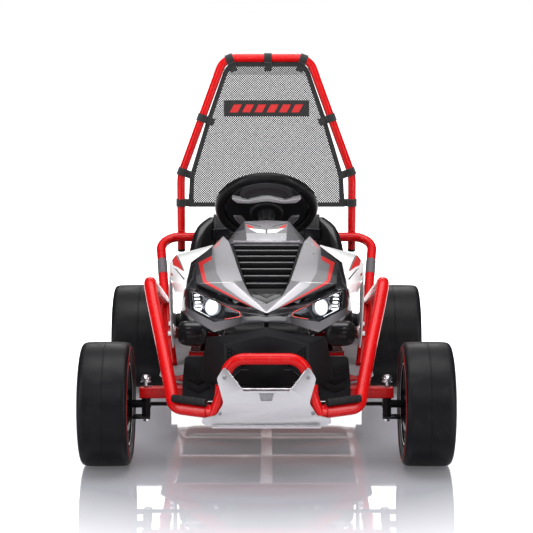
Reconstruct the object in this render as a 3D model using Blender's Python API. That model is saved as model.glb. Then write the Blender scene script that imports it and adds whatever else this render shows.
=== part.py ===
# Electric drift kart for children, seen as it parks: four slick wheels, a bent tube frame,
# a moulded nose with grille and lamps, a bucket seat and a netted roll hoop.
# Metres, +Z up, floor at Z = 0. The kart faces -Y and its own left side is +X.
# Places below are measured from the middle of the wheelbase; the empty named kart
# shifts everything so that the origin lies at the bottom centre of the whole box.
import math

import bmesh
import bpy
from mathutils import Matrix, Vector

# Driving dimensions
WHEELBASE = 0.86
TRACK_OUTER = 0.86
WHEEL_RADIUS = 0.145
FRONT_TYRE_WIDTH = 0.115
REAR_TYRE_WIDTH = 0.150
BEAD_RADIUS = 0.095
NOSE_Y = -0.645
TAIL_Y = WHEELBASE / 2 + WHEEL_RADIUS
BOX_SHIFT = -(NOSE_Y + TAIL_Y) / 2
GAP = 0.0003

FRONT_Y = -WHEELBASE / 2
REAR_Y = WHEELBASE / 2
KINGPIN_X = 0.281
ARM_LENGTH = 0.060
ARM_Z = 0.1435
ROD_Z = 0.131

# Frame levels and sections
RAIL_SIZE = 0.024
RAIL_X = 0.240
RAIL_Z = 0.1382
RAIL_TOP = RAIL_Z + RAIL_SIZE / 2
FRONT_RAIL_X = 0.1035
FRONT_RAIL_Z = 0.1985
BEAM_Z = 0.173
BEAM_SIZE = 0.026
BEAM_HALF = 0.296
PLATE_THICK = 0.003
PLATE_TOP = RAIL_TOP + GAP + PLATE_THICK
HOOP_Y = -0.610
HOOP_RADIUS = 0.013
GUARD_RADIUS = 0.015
GRIP_SLEEVE = 0.0085
LAMP_DEPTH = 0.024
ROD_RADIUS = 0.006
SEAT_TUBE_RADIUS = 0.013
CAGE_RADIUS = 0.011
CAGE_Y = 0.3845
CAGE_HALF = 0.2375
CAGE_TOP_HALF = 0.1180
CAGE_TOP_Y = 0.4100
SIDE_PANEL_X = 0.2365

# Steering
WHEEL_CENTRE = Vector((0.0, -0.030, 0.563))
COLUMN_AXIS = Vector((0.0, math.sqrt(0.5), math.sqrt(0.5)))
WHEEL_UP = Vector((0.0, -math.sqrt(0.5), math.sqrt(0.5)))
COLUMN_LENGTH = 0.520
COLUMN_RADIUS = 0.007
CRANK_LENGTH = 0.040
STEER_RADIUS = 0.116
GRIP_RADIUS = 0.0150

# Seat: place along, height of its middle, half width, bolster height, bolster lean in degrees
SEAT_WALL = 0.006
SEAT_STATIONS = [
    (-0.025, 0.2360, 0.196, 0.032, 88.0),
    (-0.005, 0.2380, 0.213, 0.052, 88.0),
    (0.060, 0.2400, 0.215, 0.062, 84.0),
    (0.140, 0.2340, 0.214, 0.072, 76.0),
    (0.210, 0.2410, 0.212, 0.086, 55.0),
    (0.250, 0.2750, 0.210, 0.094, 26.0),
    (0.271, 0.3350, 0.206, 0.080, 10.0),
    (0.284, 0.3950, 0.202, 0.062, 8.0),
    (0.296, 0.4560, 0.190, 0.040, 8.0),
    (0.303, 0.4820, 0.172, 0.022, 8.0),
    (0.307, 0.4980, 0.148, 0.010, 8.0),
]

BLACK_PLASTIC = ("black_plastic", (0.020, 0.020, 0.023), 0.42, 0.0)
GLOSS_BLACK = ("gloss_black", (0.012, 0.012, 0.014), 0.18, 0.0)
RED_STEEL = ("red_steel", (0.620, 0.008, 0.012), 0.22, 0.0)
RUBBER = ("tyre_rubber", (0.022, 0.022, 0.025), 0.55, 0.0)
WHITE_PLASTIC = ("white_plastic", (0.830, 0.840, 0.850), 0.25, 0.0)
SILVER_PLASTIC = ("silver_plastic", (0.360, 0.360, 0.380), 0.30, 0.5)
STEEL = ("bare_steel", (0.560, 0.560, 0.580), 0.28, 1.0)
DARK_STEEL = ("black_steel", (0.018, 0.018, 0.020), 0.38, 0.3)
NET_FABRIC = ("net_fabric", (0.110, 0.110, 0.120), 0.85, 0.0)
LENS = ("lamp_lens", (0.850, 0.870, 0.900), 0.06, 0.0)


# Scene and materials
def clear_scene():
    for obj in list(bpy.data.objects):
        bpy.data.objects.remove(obj, do_unlink=True)


def material(spec):
    name, colour, roughness, metallic = spec
    found = bpy.data.materials.get(name)
    if found:
        return found
    made = bpy.data.materials.new(name)
    made.use_nodes = True
    shader = made.node_tree.nodes["Principled BSDF"]
    shader.inputs["Base Color"].default_value = (*colour, 1.0)
    shader.inputs["Roughness"].default_value = roughness
    shader.inputs["Metallic"].default_value = metallic
    return made


def node(name, bm, spec, smooth_angle=35.0):
    """Turn a bmesh into a named object with its own material."""
    bmesh.ops.remove_doubles(bm, verts=bm.verts, dist=1e-6)
    mesh = bpy.data.meshes.new(name)
    bm.to_mesh(mesh)
    bm.free()
    mesh.materials.append(material(spec))
    mesh.shade_smooth()
    mesh.set_sharp_from_angle(angle=math.radians(smooth_angle))
    obj = bpy.data.objects.new(name, mesh)
    bpy.context.scene.collection.objects.link(obj)
    return obj


def bake(obj):
    """Replace an object's mesh by the mesh its modifiers give."""
    bpy.context.view_layer.update()
    graph = bpy.context.evaluated_depsgraph_get()
    mesh = bpy.data.meshes.new_from_object(obj.evaluated_get(graph))
    obj.modifiers.clear()
    obj.data = mesh


def boolean(obj, bm, operation, self_overlap=False):
    """Join or cut obj with the solid in bm, and keep the result as its mesh."""
    tool = node("tool", bm, BLACK_PLASTIC)
    step = obj.modifiers.new(operation.lower(), "BOOLEAN")
    step.operation = operation
    step.solver = "EXACT"
    step.use_self = self_overlap
    step.object = tool
    bake(obj)
    bpy.data.objects.remove(tool, do_unlink=True)


def keep_largest(obj):
    """Drop the offcuts that a cut leaves, keeping the piece with the most points."""
    bm = bmesh.new()
    bm.from_mesh(obj.data)
    left = set(bm.verts)
    pieces = []
    while left:
        piece, edge = set(), [left.pop()]
        while edge:
            vert = edge.pop()
            piece.add(vert)
            near = {e.other_vert(vert) for e in vert.link_edges} & left
            left -= near
            edge += list(near)
        pieces.append(piece)
    pieces.sort(key=len)
    for piece in pieces[:-1]:
        bmesh.ops.delete(bm, geom=list(piece), context="VERTS")
    bm.to_mesh(obj.data)
    bm.free()


def bevel(obj, width, segments=1, angle=40.0):
    step = obj.modifiers.new("edges", "BEVEL")
    step.width = width
    step.segments = segments
    step.limit_method = "ANGLE"
    step.angle_limit = math.radians(angle)
    bake(obj)


def hang_on(obj, parent, origin=(0.0, 0.0, 0.0)):
    """Put the object's origin at a point, such as its joint's axis, under the kart empty."""
    origin = Vector(origin)
    obj.data.transform(Matrix.Translation(-origin))
    obj.location = origin
    obj.parent = parent


# Solid builders, each adding to a bmesh
def box(bm, centre, size, turn=None):
    matrix = Matrix.Translation(Vector(centre))
    if turn is not None:
        matrix = matrix @ turn
    matrix = matrix @ Matrix.Diagonal((*size, 1.0))
    bmesh.ops.create_cube(bm, size=1.0, matrix=matrix)


def cylinder(bm, start, end, radius, sides=16, end_radius=None):
    start, end = Vector(start), Vector(end)
    along = end - start
    turn = along.to_track_quat("Z", "Y").to_matrix().to_4x4()
    bmesh.ops.create_cone(
        bm, cap_ends=True, cap_tris=False, segments=sides,
        radius1=radius, radius2=radius if end_radius is None else end_radius,
        depth=along.length, matrix=Matrix.Translation((start + end) / 2) @ turn,
    )


def filleted(points, radius, step=15.0):
    """Round the inner corners of a polyline, an arc having a point about every step degrees.
    Radius is one value, or one for each corner."""
    points = [Vector(p) for p in points]
    radii = radius if isinstance(radius, (list, tuple)) else [radius] * (len(points) - 2)
    path = [points[0]]
    for before, corner, after, bend in zip(points, points[1:], points[2:], radii):
        into, out = (corner - before).normalized(), (after - corner).normalized()
        half = into.angle(out) / 2
        if half < 0.02:
            path.append(corner)
            continue
        reach = bend * math.tan(half)
        centre = corner + (out - into).normalized() * (bend / math.cos(half))
        first = corner - into * reach
        axis = into.cross(out).normalized()
        spoke = first - centre
        steps = max(1, round(math.degrees(2 * half) / step))
        for i in range(steps + 1):
            path.append(centre + Matrix.Rotation(2 * half * i / steps, 3, axis) @ spoke)
    path.append(points[-1])
    return path


def circle(radius, sides=12):
    turn = 2 * math.pi / sides
    return [(radius * math.cos(turn * i), radius * math.sin(turn * i)) for i in range(sides)]


def rectangle(width, height):
    return [(-width / 2, -height / 2), (width / 2, -height / 2),
            (width / 2, height / 2), (-width / 2, height / 2)]


def sweep(bm, path, section, upright=False):
    """Sweep a section along a path. Upright keeps the section level, for bars and straps."""
    path = [Vector(p) for p in path]
    rings = []
    side = None
    for i, point in enumerate(path):
        before = (point - path[i - 1]).normalized() if i else None
        after = (path[i + 1] - point).normalized() if i + 1 < len(path) else None
        tangent = ((before or after) + (after or before)).normalized()
        if upright:
            side = tangent.cross(Vector((0, 0, 1))).normalized()
        elif side is None:
            start = Vector((0, 0, 1)) if abs(tangent.z) < 0.9 else Vector((0, 1, 0))
            side = tangent.cross(start).normalized()
        else:
            side = (side - tangent * side.dot(tangent)).normalized()
        up = side.cross(tangent)
        stretch = 1.0
        if before and after:
            stretch = 1.0 / max(math.cos(before.angle(after) / 2), 0.6)
            inward = (after - before)
        ring = []
        for a, b in section:
            offset = side * a + up * b
            if stretch > 1.0001:
                mitre = inward.normalized()
                offset += mitre * offset.dot(mitre) * (stretch - 1.0)
            ring.append(bm.verts.new(point + offset))
        rings.append(ring)
    count = len(section)
    for ring, following in zip(rings, rings[1:]):
        for k in range(count):
            j = (k + 1) % count
            bm.faces.new((ring[k], ring[j], following[j], following[k]))
    bm.faces.new(list(reversed(rings[0])))
    bm.faces.new(rings[-1])
    bmesh.ops.recalc_face_normals(bm, faces=bm.faces)


def lathe(bm, profile, centre, axis, segments=32):
    """Turn a closed profile of (along, radius) points about an axis."""
    axis = Vector(axis).normalized()
    helper = Vector((0, 0, 1)) if abs(axis.z) < 0.9 else Vector((1, 0, 0))
    first = axis.cross(helper).normalized()
    second = axis.cross(first)
    centre = Vector(centre)
    columns = []
    for i in range(segments):
        turn = 2 * math.pi * i / segments
        out = first * math.cos(turn) + second * math.sin(turn)
        columns.append([
            bm.verts.new(centre + axis * along + out * radius) if radius > 0 else None
            for along, radius in profile
        ])
    poles = {k: bm.verts.new(centre + axis * along)
             for k, (along, radius) in enumerate(profile) if radius == 0}
    count = len(profile)
    for i in range(segments):
        here, there = columns[i], columns[(i + 1) % segments]
        for k in range(count):
            j = (k + 1) % count
            corners = [here[k] or poles[k], here[j] or poles[j],
                       there[j] or poles[j], there[k] or poles[k]]
            face = list(dict.fromkeys(corners))
            if len(face) > 2:
                bm.faces.new(face)
    bmesh.ops.recalc_face_normals(bm, faces=bm.faces)


def prism(bm, outline, origin, right, up, depth):
    """Extrude an outline, drawn on the axes right and up, by depth along their cross product."""
    origin, right, up = Vector(origin), Vector(right), Vector(up)
    away = right.cross(up).normalized() * depth
    near = [bm.verts.new(origin + right * a + up * b) for a, b in outline]
    far = [bm.verts.new(v.co + away) for v in near]
    count = len(outline)
    bm.faces.new(list(reversed(near)))
    bm.faces.new(far)
    for k in range(count):
        j = (k + 1) % count
        bm.faces.new((near[k], near[j], far[j], far[k]))
    bmesh.ops.recalc_face_normals(bm, faces=bm.faces)


def rounded(outline, radius, step=30.0):
    """Round every corner of a closed outline of 2-D points."""
    count = len(outline)
    radii = radius if isinstance(radius, (list, tuple)) else [radius] * count
    result = []
    for k in range(count):
        ring = [Vector((*outline[(k + i) % count], 0.0)) for i in (-1, 0, 1)]
        path = filleted(ring, radii[k], step) if radii[k] else ring
        result += [(p.x, p.y) for p in path[1:-1]]
    return result


def shell(name, points, faces, thickness, spec, outward, mirrored=False, rim=0.0):
    """Make a moulded panel: named points, faces between them, and a wall behind them."""
    bm = bmesh.new()
    verts = {key: bm.verts.new(place) for key, place in points.items()}
    for face in faces:
        bm.faces.new([verts[key] for key in face])
    if mirrored:
        half = list(bm.verts) + list(bm.edges) + list(bm.faces)
        copy = bmesh.ops.duplicate(bm, geom=half)["geom"]
        for item in copy:
            if isinstance(item, bmesh.types.BMVert):
                item.co.x = -item.co.x
        bmesh.ops.remove_doubles(bm, verts=bm.verts, dist=1e-5)
    bmesh.ops.triangulate(bm, faces=bm.faces)
    bmesh.ops.recalc_face_normals(bm, faces=bm.faces)
    outward = Vector(outward)
    if sum(face.normal.dot(outward) * face.calc_area() for face in bm.faces) < 0:
        bmesh.ops.reverse_faces(bm, faces=bm.faces)
    obj = node(name, bm, spec, 25.0)
    wall = obj.modifiers.new("wall", "SOLIDIFY")
    wall.thickness = thickness
    wall.offset = -1.0
    wall.use_even_offset = True
    wall.use_quality_normals = True
    bake(obj)
    if rim:
        bevel(obj, rim, 1, 50.0)
    return obj


def mirror_x(point):
    return (-point[0], point[1], point[2])


def sided(path, side):
    """Put a path drawn for the left side, +X, on the side wanted."""
    return [(side * x, y, z) for x, y, z in path]


# Welded frame
def rail_path():
    """The rails' centre line, from the left front end round the back to the right front end."""
    half = [
        (FRONT_RAIL_X, HOOP_Y + HOOP_RADIUS + GAP, FRONT_RAIL_Z),
        (FRONT_RAIL_X, -0.310, FRONT_RAIL_Z),
        (RAIL_X, -0.170, RAIL_Z),
        (RAIL_X, 0.460, RAIL_Z),
    ]
    whole = half + [mirror_x(p) for p in reversed(half)]
    return filleted(whole, [0.050, 0.050, 0.055, 0.055, 0.050, 0.050], 18.0)


def chassis_frame():
    bm = bmesh.new()
    sweep(bm, rail_path(), rectangle(RAIL_SIZE, RAIL_SIZE), upright=True)
    obj = node("chassis_frame", bm, RED_STEEL)
    members = [  # centre, size
        ((0, 0.130, RAIL_Z), (2 * RAIL_X, RAIL_SIZE, RAIL_SIZE)),
        ((0, 0.330, RAIL_Z), (2 * RAIL_X, RAIL_SIZE, RAIL_SIZE)),
        ((0, -0.150, RAIL_Z), (2 * RAIL_X - 0.010, RAIL_SIZE, RAIL_SIZE)),
        ((0, 0.155, RAIL_Z - 0.001), (0.030, 0.610, RAIL_SIZE - 0.002)),
        ((0, -0.335, FRONT_RAIL_Z), (2 * FRONT_RAIL_X, RAIL_SIZE, RAIL_SIZE - 0.002)),
    ]
    for centre, size in members:
        tool = bmesh.new()
        box(tool, centre, size)
        boolean(obj, tool, "UNION")
    for side in (1, -1):
        tool = bmesh.new()
        box(tool, (side * RAIL_X, REAR_Y, 0.1475), (0.030, 0.040, 0.044))
        boolean(obj, tool, "UNION")
    tool = bmesh.new()
    cylinder(tool, (-0.30, REAR_Y, WHEEL_RADIUS), (0.30, REAR_Y, WHEEL_RADIUS), 0.0063, 12)
    boolean(obj, tool, "DIFFERENCE")
    return obj


def front_axle_beam():
    bm = bmesh.new()
    box(bm, (0, FRONT_Y, BEAM_Z), (2 * BEAM_HALF, BEAM_SIZE, BEAM_SIZE))
    obj = node("front_axle_beam", bm, RED_STEEL)
    bevel(obj, 0.0025, 1)
    for side in (1, -1):
        tool = bmesh.new()
        box(tool, (side * (BEAM_HALF - 0.045), FRONT_Y, BEAM_Z), (0.120, 0.021, 0.021))
        boolean(obj, tool, "DIFFERENCE")
        tool = bmesh.new()
        cylinder(tool, (side * KINGPIN_X, FRONT_Y, BEAM_Z - 0.03),
                 (side * KINGPIN_X, FRONT_Y, BEAM_Z + 0.03), 0.0048, 10)
        boolean(obj, tool, "DIFFERENCE")
    return obj


def floor_plate():
    outline = [(-0.268, 0.345), (-0.268, -0.150), (-0.215, -0.238),
               (0.215, -0.238), (0.268, -0.150), (0.268, 0.345)]
    outline = rounded(outline, [0.020, 0.030, 0.020, 0.020, 0.030, 0.020], 45.0)
    bm = bmesh.new()
    prism(bm, outline, (0, 0, RAIL_TOP + GAP), (1, 0, 0), (0, 1, 0), PLATE_THICK)
    obj = node("floor_plate", bm, STEEL)
    notch = rectangle(RAIL_SIZE + 0.006, RAIL_SIZE + 0.009)
    for side in (1, -1):
        rising = [p for p in rail_path() if side * p.x > 0 and -0.32 < p.y < -0.10]
        tool = bmesh.new()
        sweep(tool, rising, notch, upright=True)
        boolean(obj, tool, "DIFFERENCE")
    return obj


def seat_frame():
    middle = PLATE_TOP + GAP + 0.015
    top = middle + 0.014
    pan = SEAT_STATIONS[1][1] - SEAT_WALL - GAP
    bm = bmesh.new()
    box(bm, (0, -0.005, middle), (0.400, 0.030, 0.030))
    obj = node("seat_frame", bm, RED_STEEL)
    # Side members, rear member, front upstand under the pan, and a foot each side of the battery
    pieces = [  # centre, size
        ((0.185, 0.1425, middle), (0.024, 0.300, 0.028)),
        ((-0.185, 0.1425, middle), (0.024, 0.300, 0.028)),
        ((0, 0.292, middle), (0.380, 0.024, 0.028)),
        ((0, 0.0, (top + pan) / 2 - 0.002), (0.140, 0.008, pan - top + 0.004)),
        ((0.148, 0.140, middle), (0.090, 0.008, 0.026)),
        ((-0.148, 0.140, middle), (0.090, 0.008, 0.026)),
        ((0.125, 0.140, 0.205), (0.030, 0.008, 0.050)),
        ((-0.125, 0.140, 0.205), (0.030, 0.008, 0.050)),
    ]
    for centre, size in pieces:
        tool = bmesh.new()
        box(tool, centre, size)
        boolean(obj, tool, "UNION")
    return obj


def seat_hoop_path():
    """The side tubes and the rear bar, in one bend from the left foot to the right foot."""
    half = [(0.242, -0.030, PLATE_TOP + GAP), (0.271, 0.150, 0.300), (0.295, 0.3600, 0.437)]
    whole = half + [mirror_x(p) for p in reversed(half)]
    return filleted(whole, [0.30, 0.050, 0.050, 0.30], 18.0)


def seat_hoop():
    foot = PLATE_TOP + GAP
    bm = bmesh.new()
    sweep(bm, seat_hoop_path(), circle(SEAT_TUBE_RADIUS, 12))
    obj = node("seat_hoop", bm, RED_STEEL)
    for side in (1, -1):
        tool = bmesh.new()
        box(tool, (side * 0.242, -0.022, foot + 0.002), (0.034, 0.070, 0.004))
        boolean(obj, tool, "UNION")
        tool = bmesh.new()
        box(tool, (side * 0.242, -0.022, foot - 0.010), (0.080, 0.100, 0.020))
        boolean(obj, tool, "DIFFERENCE")
    return obj


def hoop_path():
    leg = [(0.1245, HOOP_Y, 0.143), (0.1135, HOOP_Y, 0.170), (0.0935, HOOP_Y, 0.230),
           (0.0840, HOOP_Y, 0.288)]
    whole = leg + [mirror_x(p) for p in reversed(leg)]
    return filleted(whole, [0.12, 0.12, 0.042, 0.042, 0.12, 0.12], 18.0)


def guard_bar(name, side):
    """The side guard: from the bumper hoop's leg out, up over the front wheel and back to
    the seat hoop, its ends shaped to the tubes they are welded to."""
    bar = [
        (0.119, -0.6065, 0.166),
        (0.208, -0.5650, 0.168),
        (0.238, -0.4600, 0.278),
        (0.267, -0.3650, 0.377),
        (0.277, -0.3270, 0.4165),
        (0.272, 0.1400, 0.2930),
    ]
    bm = bmesh.new()
    path = filleted(sided(bar, side), [0.032, 0.30, 0.30, 0.034], 18.0)
    sweep(bm, path, circle(GUARD_RADIUS, 12))
    obj = node(name, bm, RED_STEEL)
    for route, radius in ((hoop_path(), HOOP_RADIUS), (seat_hoop_path(), SEAT_TUBE_RADIUS)):
        tool = bmesh.new()
        sweep(tool, route, circle(radius + GAP, 12))
        boolean(obj, tool, "DIFFERENCE")
        keep_largest(obj)
    return obj


def bumper_hoop():
    bm = bmesh.new()
    sweep(bm, hoop_path(), circle(HOOP_RADIUS, 12))
    return node("bumper_hoop", bm, RED_STEEL)


def skid_plate():
    # Half outline: across, height, corner radius
    half = [
        (0.128, 0.1385, 0.008), (0.143, 0.1460, 0.005), (0.143, 0.1570, 0.005),
        (0.112, 0.1640, 0.006), (0.095, 0.1910, 0.014), (0.110, 0.2470, 0.010),
        (0.093, 0.2740, 0.004), (0.0555, 0.2230, 0.010),
    ]
    outline = [(x, z) for x, z, _ in half] + [(-x, z) for x, z, _ in reversed(half)]
    corners = [r for _, _, r in half]
    outline = rounded(outline, corners + corners[::-1])
    back = HOOP_Y - HOOP_RADIUS - GAP
    bm = bmesh.new()
    prism(bm, outline, (0, back, 0), (1, 0, 0), (0, 0, 1), 0.004)
    obj = node("skid_plate", bm, STEEL)
    lips = [  # centre across, height, size across
        (0.0, 0.1405, 0.240, 0.004),
        (0.0, 0.2210, 0.104, 0.004),
    ]
    for x, z, across, thick in lips:
        tool = bmesh.new()
        box(tool, (x, (back + NOSE_Y) / 2, z), (across, back - NOSE_Y, thick))
        boolean(obj, tool, "UNION")
    return obj


def foot_grip(name, side):
    # Rubber sleeve along the upper side of the guard bar's front run
    start = Vector((side * 0.2030, -0.5800, 0.1912))
    end = Vector((side * 0.1400, -0.6095, 0.1892))
    bm = bmesh.new()
    cylinder(bm, start, end, GRIP_SLEEVE, 12)
    obj = node(name, bm, RUBBER)
    bevel(obj, 0.0025, 1, 60)
    return obj


# Roll hoop and its net
def cage_path(lift=0.0):
    half = [(CAGE_HALF, CAGE_Y, 0.396 - lift), (CAGE_HALF, CAGE_Y, 0.606),
            (CAGE_TOP_HALF, CAGE_TOP_Y, 0.9290)]
    whole = half + [mirror_x(p) for p in reversed(half)]
    return filleted(whole, [0.10, 0.046, 0.046, 0.10], 18.0)


def roll_cage():
    bm = bmesh.new()
    sweep(bm, cage_path(), circle(CAGE_RADIUS, 10))
    return node("roll_cage", bm, RED_STEEL)


def cage_net():
    # Half outline of the cloth: across, height; it hangs inside the tubes
    bottom = 0.519
    half = [(0.2170, bottom), (0.2165, 0.603), (0.1620, 0.765), (0.1010, 0.909)]
    bend, top = Vector((CAGE_HALF, CAGE_Y, 0.606)), Vector((CAGE_TOP_HALF, CAGE_TOP_Y, 0.929))
    slope = (top - bend).normalized()
    lean = math.atan2(slope.y, slope.z)
    up = Vector((0, math.sin(lean), math.cos(lean)))
    outline = [(x, z - bottom) for x, z in half] + [(-x, z - bottom) for x, z in reversed(half)]
    bm = bmesh.new()
    prism(bm, outline, (0, CAGE_Y - 0.0035, bottom), (1, 0, 0), up, 0.003)
    obj = node("cage_net", bm, NET_FABRIC)
    spots = [(Vector((CAGE_HALF, CAGE_Y, 0.530)), Vector((0, 0, 1)))]
    for share in (0.04, 0.48, 0.84):
        spots.append((bend.lerp(top, share), slope))
    spots += [(Vector(mirror_x(p)), Vector(mirror_x(d))) for p, d in spots]
    spots += [(Vector((x, CAGE_TOP_Y, 0.9290)), Vector((1, 0, 0))) for x in (-0.055, 0.0, 0.055)]
    for place, direction in spots:
        tool = bmesh.new()
        cylinder(tool, place - direction * 0.011, place + direction * 0.011, 0.0143, 10)
        boolean(obj, tool, "UNION")
        inward = Vector((0, 0, -1)) if direction.x > 0.9 else Vector((-place.x, 0, 0))
        inward = (inward - direction * inward.dot(direction)).normalized()
        turn = Matrix((direction, inward, direction.cross(inward))).transposed().to_4x4()
        tool = bmesh.new()
        box(tool, place + inward * 0.0195, (0.0206, 0.0290, 0.0062), turn)
        boolean(obj, tool, "UNION")
    tool = bmesh.new()
    sweep(tool, cage_path(0.02), circle(CAGE_RADIUS + GAP, 10))
    boolean(obj, tool, "DIFFERENCE")
    return obj


# Seat, belts and battery
def seat_shell():
    # Across the seat: part of half width, part of bolster height
    across = [(0.0, 0.0), (0.35, 0.0), (0.66, 0.06), (0.80, 0.45), (0.90, 1.0), (1.02, 0.98),
              (1.06, 0.40), (1.0, -0.50)]
    bm = bmesh.new()
    rows = []
    for y, z, width, height, lean in SEAT_STATIONS:
        angle = math.radians(lean)
        rise = Vector((0, -math.cos(angle), math.sin(angle)))
        row = []
        for part, lift in [(-a, b) for a, b in reversed(across[1:])] + across:
            row.append(bm.verts.new(Vector((width * part, y, z)) + rise * (height * lift)))
        rows.append(row)
    for row, following in zip(rows, rows[1:]):
        for k in range(len(row) - 1):
            bm.faces.new((row[k], row[k + 1], following[k + 1], following[k]))
    bmesh.ops.recalc_face_normals(bm, faces=bm.faces)
    if sum(face.normal.z for face in bm.faces) < 0:
        bmesh.ops.reverse_faces(bm, faces=bm.faces)
    obj = node("seat_shell", bm, GLOSS_BLACK)
    wall = obj.modifiers.new("wall", "SOLIDIFY")
    wall.thickness = SEAT_WALL
    wall.offset = -1.0
    wall.use_quality_normals = True
    bake(obj)
    return obj


def harness(name, side):
    # One shoulder belt: from behind the seat over its top edge and down its front face
    path = [(0.128, 0.3165, 0.400), (0.128, 0.3175, 0.5045), (0.128, 0.2905, 0.5045),
            (0.127, 0.2800, 0.482), (0.124, 0.2770, 0.455), (0.116, 0.2735, 0.395),
            (0.108, 0.2610, 0.335), (0.098, 0.2430, 0.288)]
    bm = bmesh.new()
    route = filleted(sided(path, side), [0.006, 0.006, 0.02, 0.02, 0.05, 0.05], 30.0)
    sweep(bm, route, rectangle(0.034, 0.003))
    return node(name, bm, NET_FABRIC)


def battery_pack():
    bm = bmesh.new()
    z = PLATE_TOP + GAP
    box(bm, (0, 0.185, z + 0.031), (0.196, 0.151, 0.062))
    obj = node("battery_pack", bm, BLACK_PLASTIC)
    bevel(obj, 0.003, 1)
    return obj


# Rear drive
def rear_axle():
    bm = bmesh.new()
    reach = TRACK_OUTER / 2 - 0.032
    cylinder(bm, (-reach, REAR_Y, WHEEL_RADIUS), (reach, REAR_Y, WHEEL_RADIUS), 0.006, 12)
    return node("rear_axle", bm, STEEL)


def motor(name, side):
    # Gear case beside the rail, outline in y and z, with the motor can over the rail
    case = [(REAR_Y + 0.032, 0.130), (REAR_Y + 0.032, 0.166), (REAR_Y + 0.010, 0.186),
            (REAR_Y - 0.062, 0.232), (REAR_Y - 0.098, 0.222), (REAR_Y - 0.098, 0.184),
            (REAR_Y - 0.028, 0.118), (REAR_Y + 0.010, 0.114)]
    bm = bmesh.new()
    prism(bm, rounded(case, 0.010), (side * 0.2565, 0, 0), (0, side, 0), (0, 0, 1), 0.018)
    # The outline's first axis turns with the side, so its y values are mirrored back here
    if side < 0:
        for vert in bm.verts:
            vert.co.y = -vert.co.y
        bmesh.ops.recalc_face_normals(bm, faces=bm.faces)
    obj = node(name, bm, BLACK_PLASTIC)
    tool = bmesh.new()
    cylinder(tool, (side * 0.186, REAR_Y - 0.072, 0.203), (side * 0.262, REAR_Y - 0.072, 0.203),
             0.0185, 16)
    boolean(obj, tool, "UNION")
    tool = bmesh.new()
    cylinder(tool, (side * 0.24, REAR_Y, WHEEL_RADIUS), (side * 0.29, REAR_Y, WHEEL_RADIUS),
             0.0070, 12)
    boolean(obj, tool, "DIFFERENCE")
    return obj


# Wheels
def tyre(name, side, y, width):
    shoulder, edge = 0.011, 0.0015
    profile = [
        (0.000, WHEEL_RADIUS), (width / 2 - shoulder, WHEEL_RADIUS - edge),
        (width / 2 - 0.0032, WHEEL_RADIUS - 0.0042), (width / 2, WHEEL_RADIUS - 0.0125),
        (width / 2 - 0.0020, 0.115), (width / 2 - 0.0100, BEAD_RADIUS),
    ]
    profile = profile + [(-a, r) for a, r in reversed(profile[1:])]
    centre = (side * (TRACK_OUTER - width) / 2, y, WHEEL_RADIUS)
    bm = bmesh.new()
    lathe(bm, profile, centre, (1, 0, 0), 32)
    return node(name, bm, RUBBER, 30.0)


def rim(name, side, y, width, hub_inside):
    half = width / 2
    seat = BEAD_RADIUS - GAP - 0.0003
    disc = half - 0.026
    profile = [
        (hub_inside, 0.0068), (hub_inside, 0.020), (disc - 0.010, 0.023),
        (disc - 0.006, 0.082), (-half + 0.006, 0.088), (-half + 0.006, seat),
        (half - 0.004, seat), (half - 0.006, 0.0865), (disc, 0.0800),
        (disc + 0.008, 0.027), (disc + 0.014, 0.012), (disc + 0.014, 0.0),
        (disc + 0.006, 0.0), (disc + 0.006, 0.0068),
    ]
    centre = (side * (TRACK_OUTER - width) / 2, y, WHEEL_RADIUS)
    bm = bmesh.new()
    lathe(bm, profile, centre, (side, 0, 0), 18)
    obj = node(name, bm, BLACK_PLASTIC, 30.0)
    window = [(0.034, -0.010), (0.074, -0.024), (0.074, 0.024), (0.034, 0.010)]
    for k in range(6):
        turn = 2 * math.pi * (k + 0.5) / 6
        out = Vector((0, math.cos(turn), math.sin(turn)))
        along = Vector((1, 0, 0)).cross(out)
        start = Vector(centre) + Vector((side * disc - 0.03, 0, 0))
        tool = bmesh.new()
        prism(tool, window, start, out, along, 0.06)
        boolean(obj, tool, "DIFFERENCE")
    return obj


# Steering
def on_column(across, up, along):
    """A point on the steering wheel's own axes: across, up the wheel's face, along the column."""
    return WHEEL_CENTRE + Vector((across, 0, 0)) + WHEEL_UP * up + COLUMN_AXIS * along


def steering_rim():
    bm = bmesh.new()
    ring = [(GRIP_RADIUS * 0.9 * math.cos(t), STEER_RADIUS + GRIP_RADIUS * math.sin(t))
            for t in (2 * math.pi * i / 8 for i in range(8))]
    lathe(bm, ring, WHEEL_CENTRE, COLUMN_AXIS, 32)
    return node("steering_rim", bm, BLACK_PLASTIC, 60.0)


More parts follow.
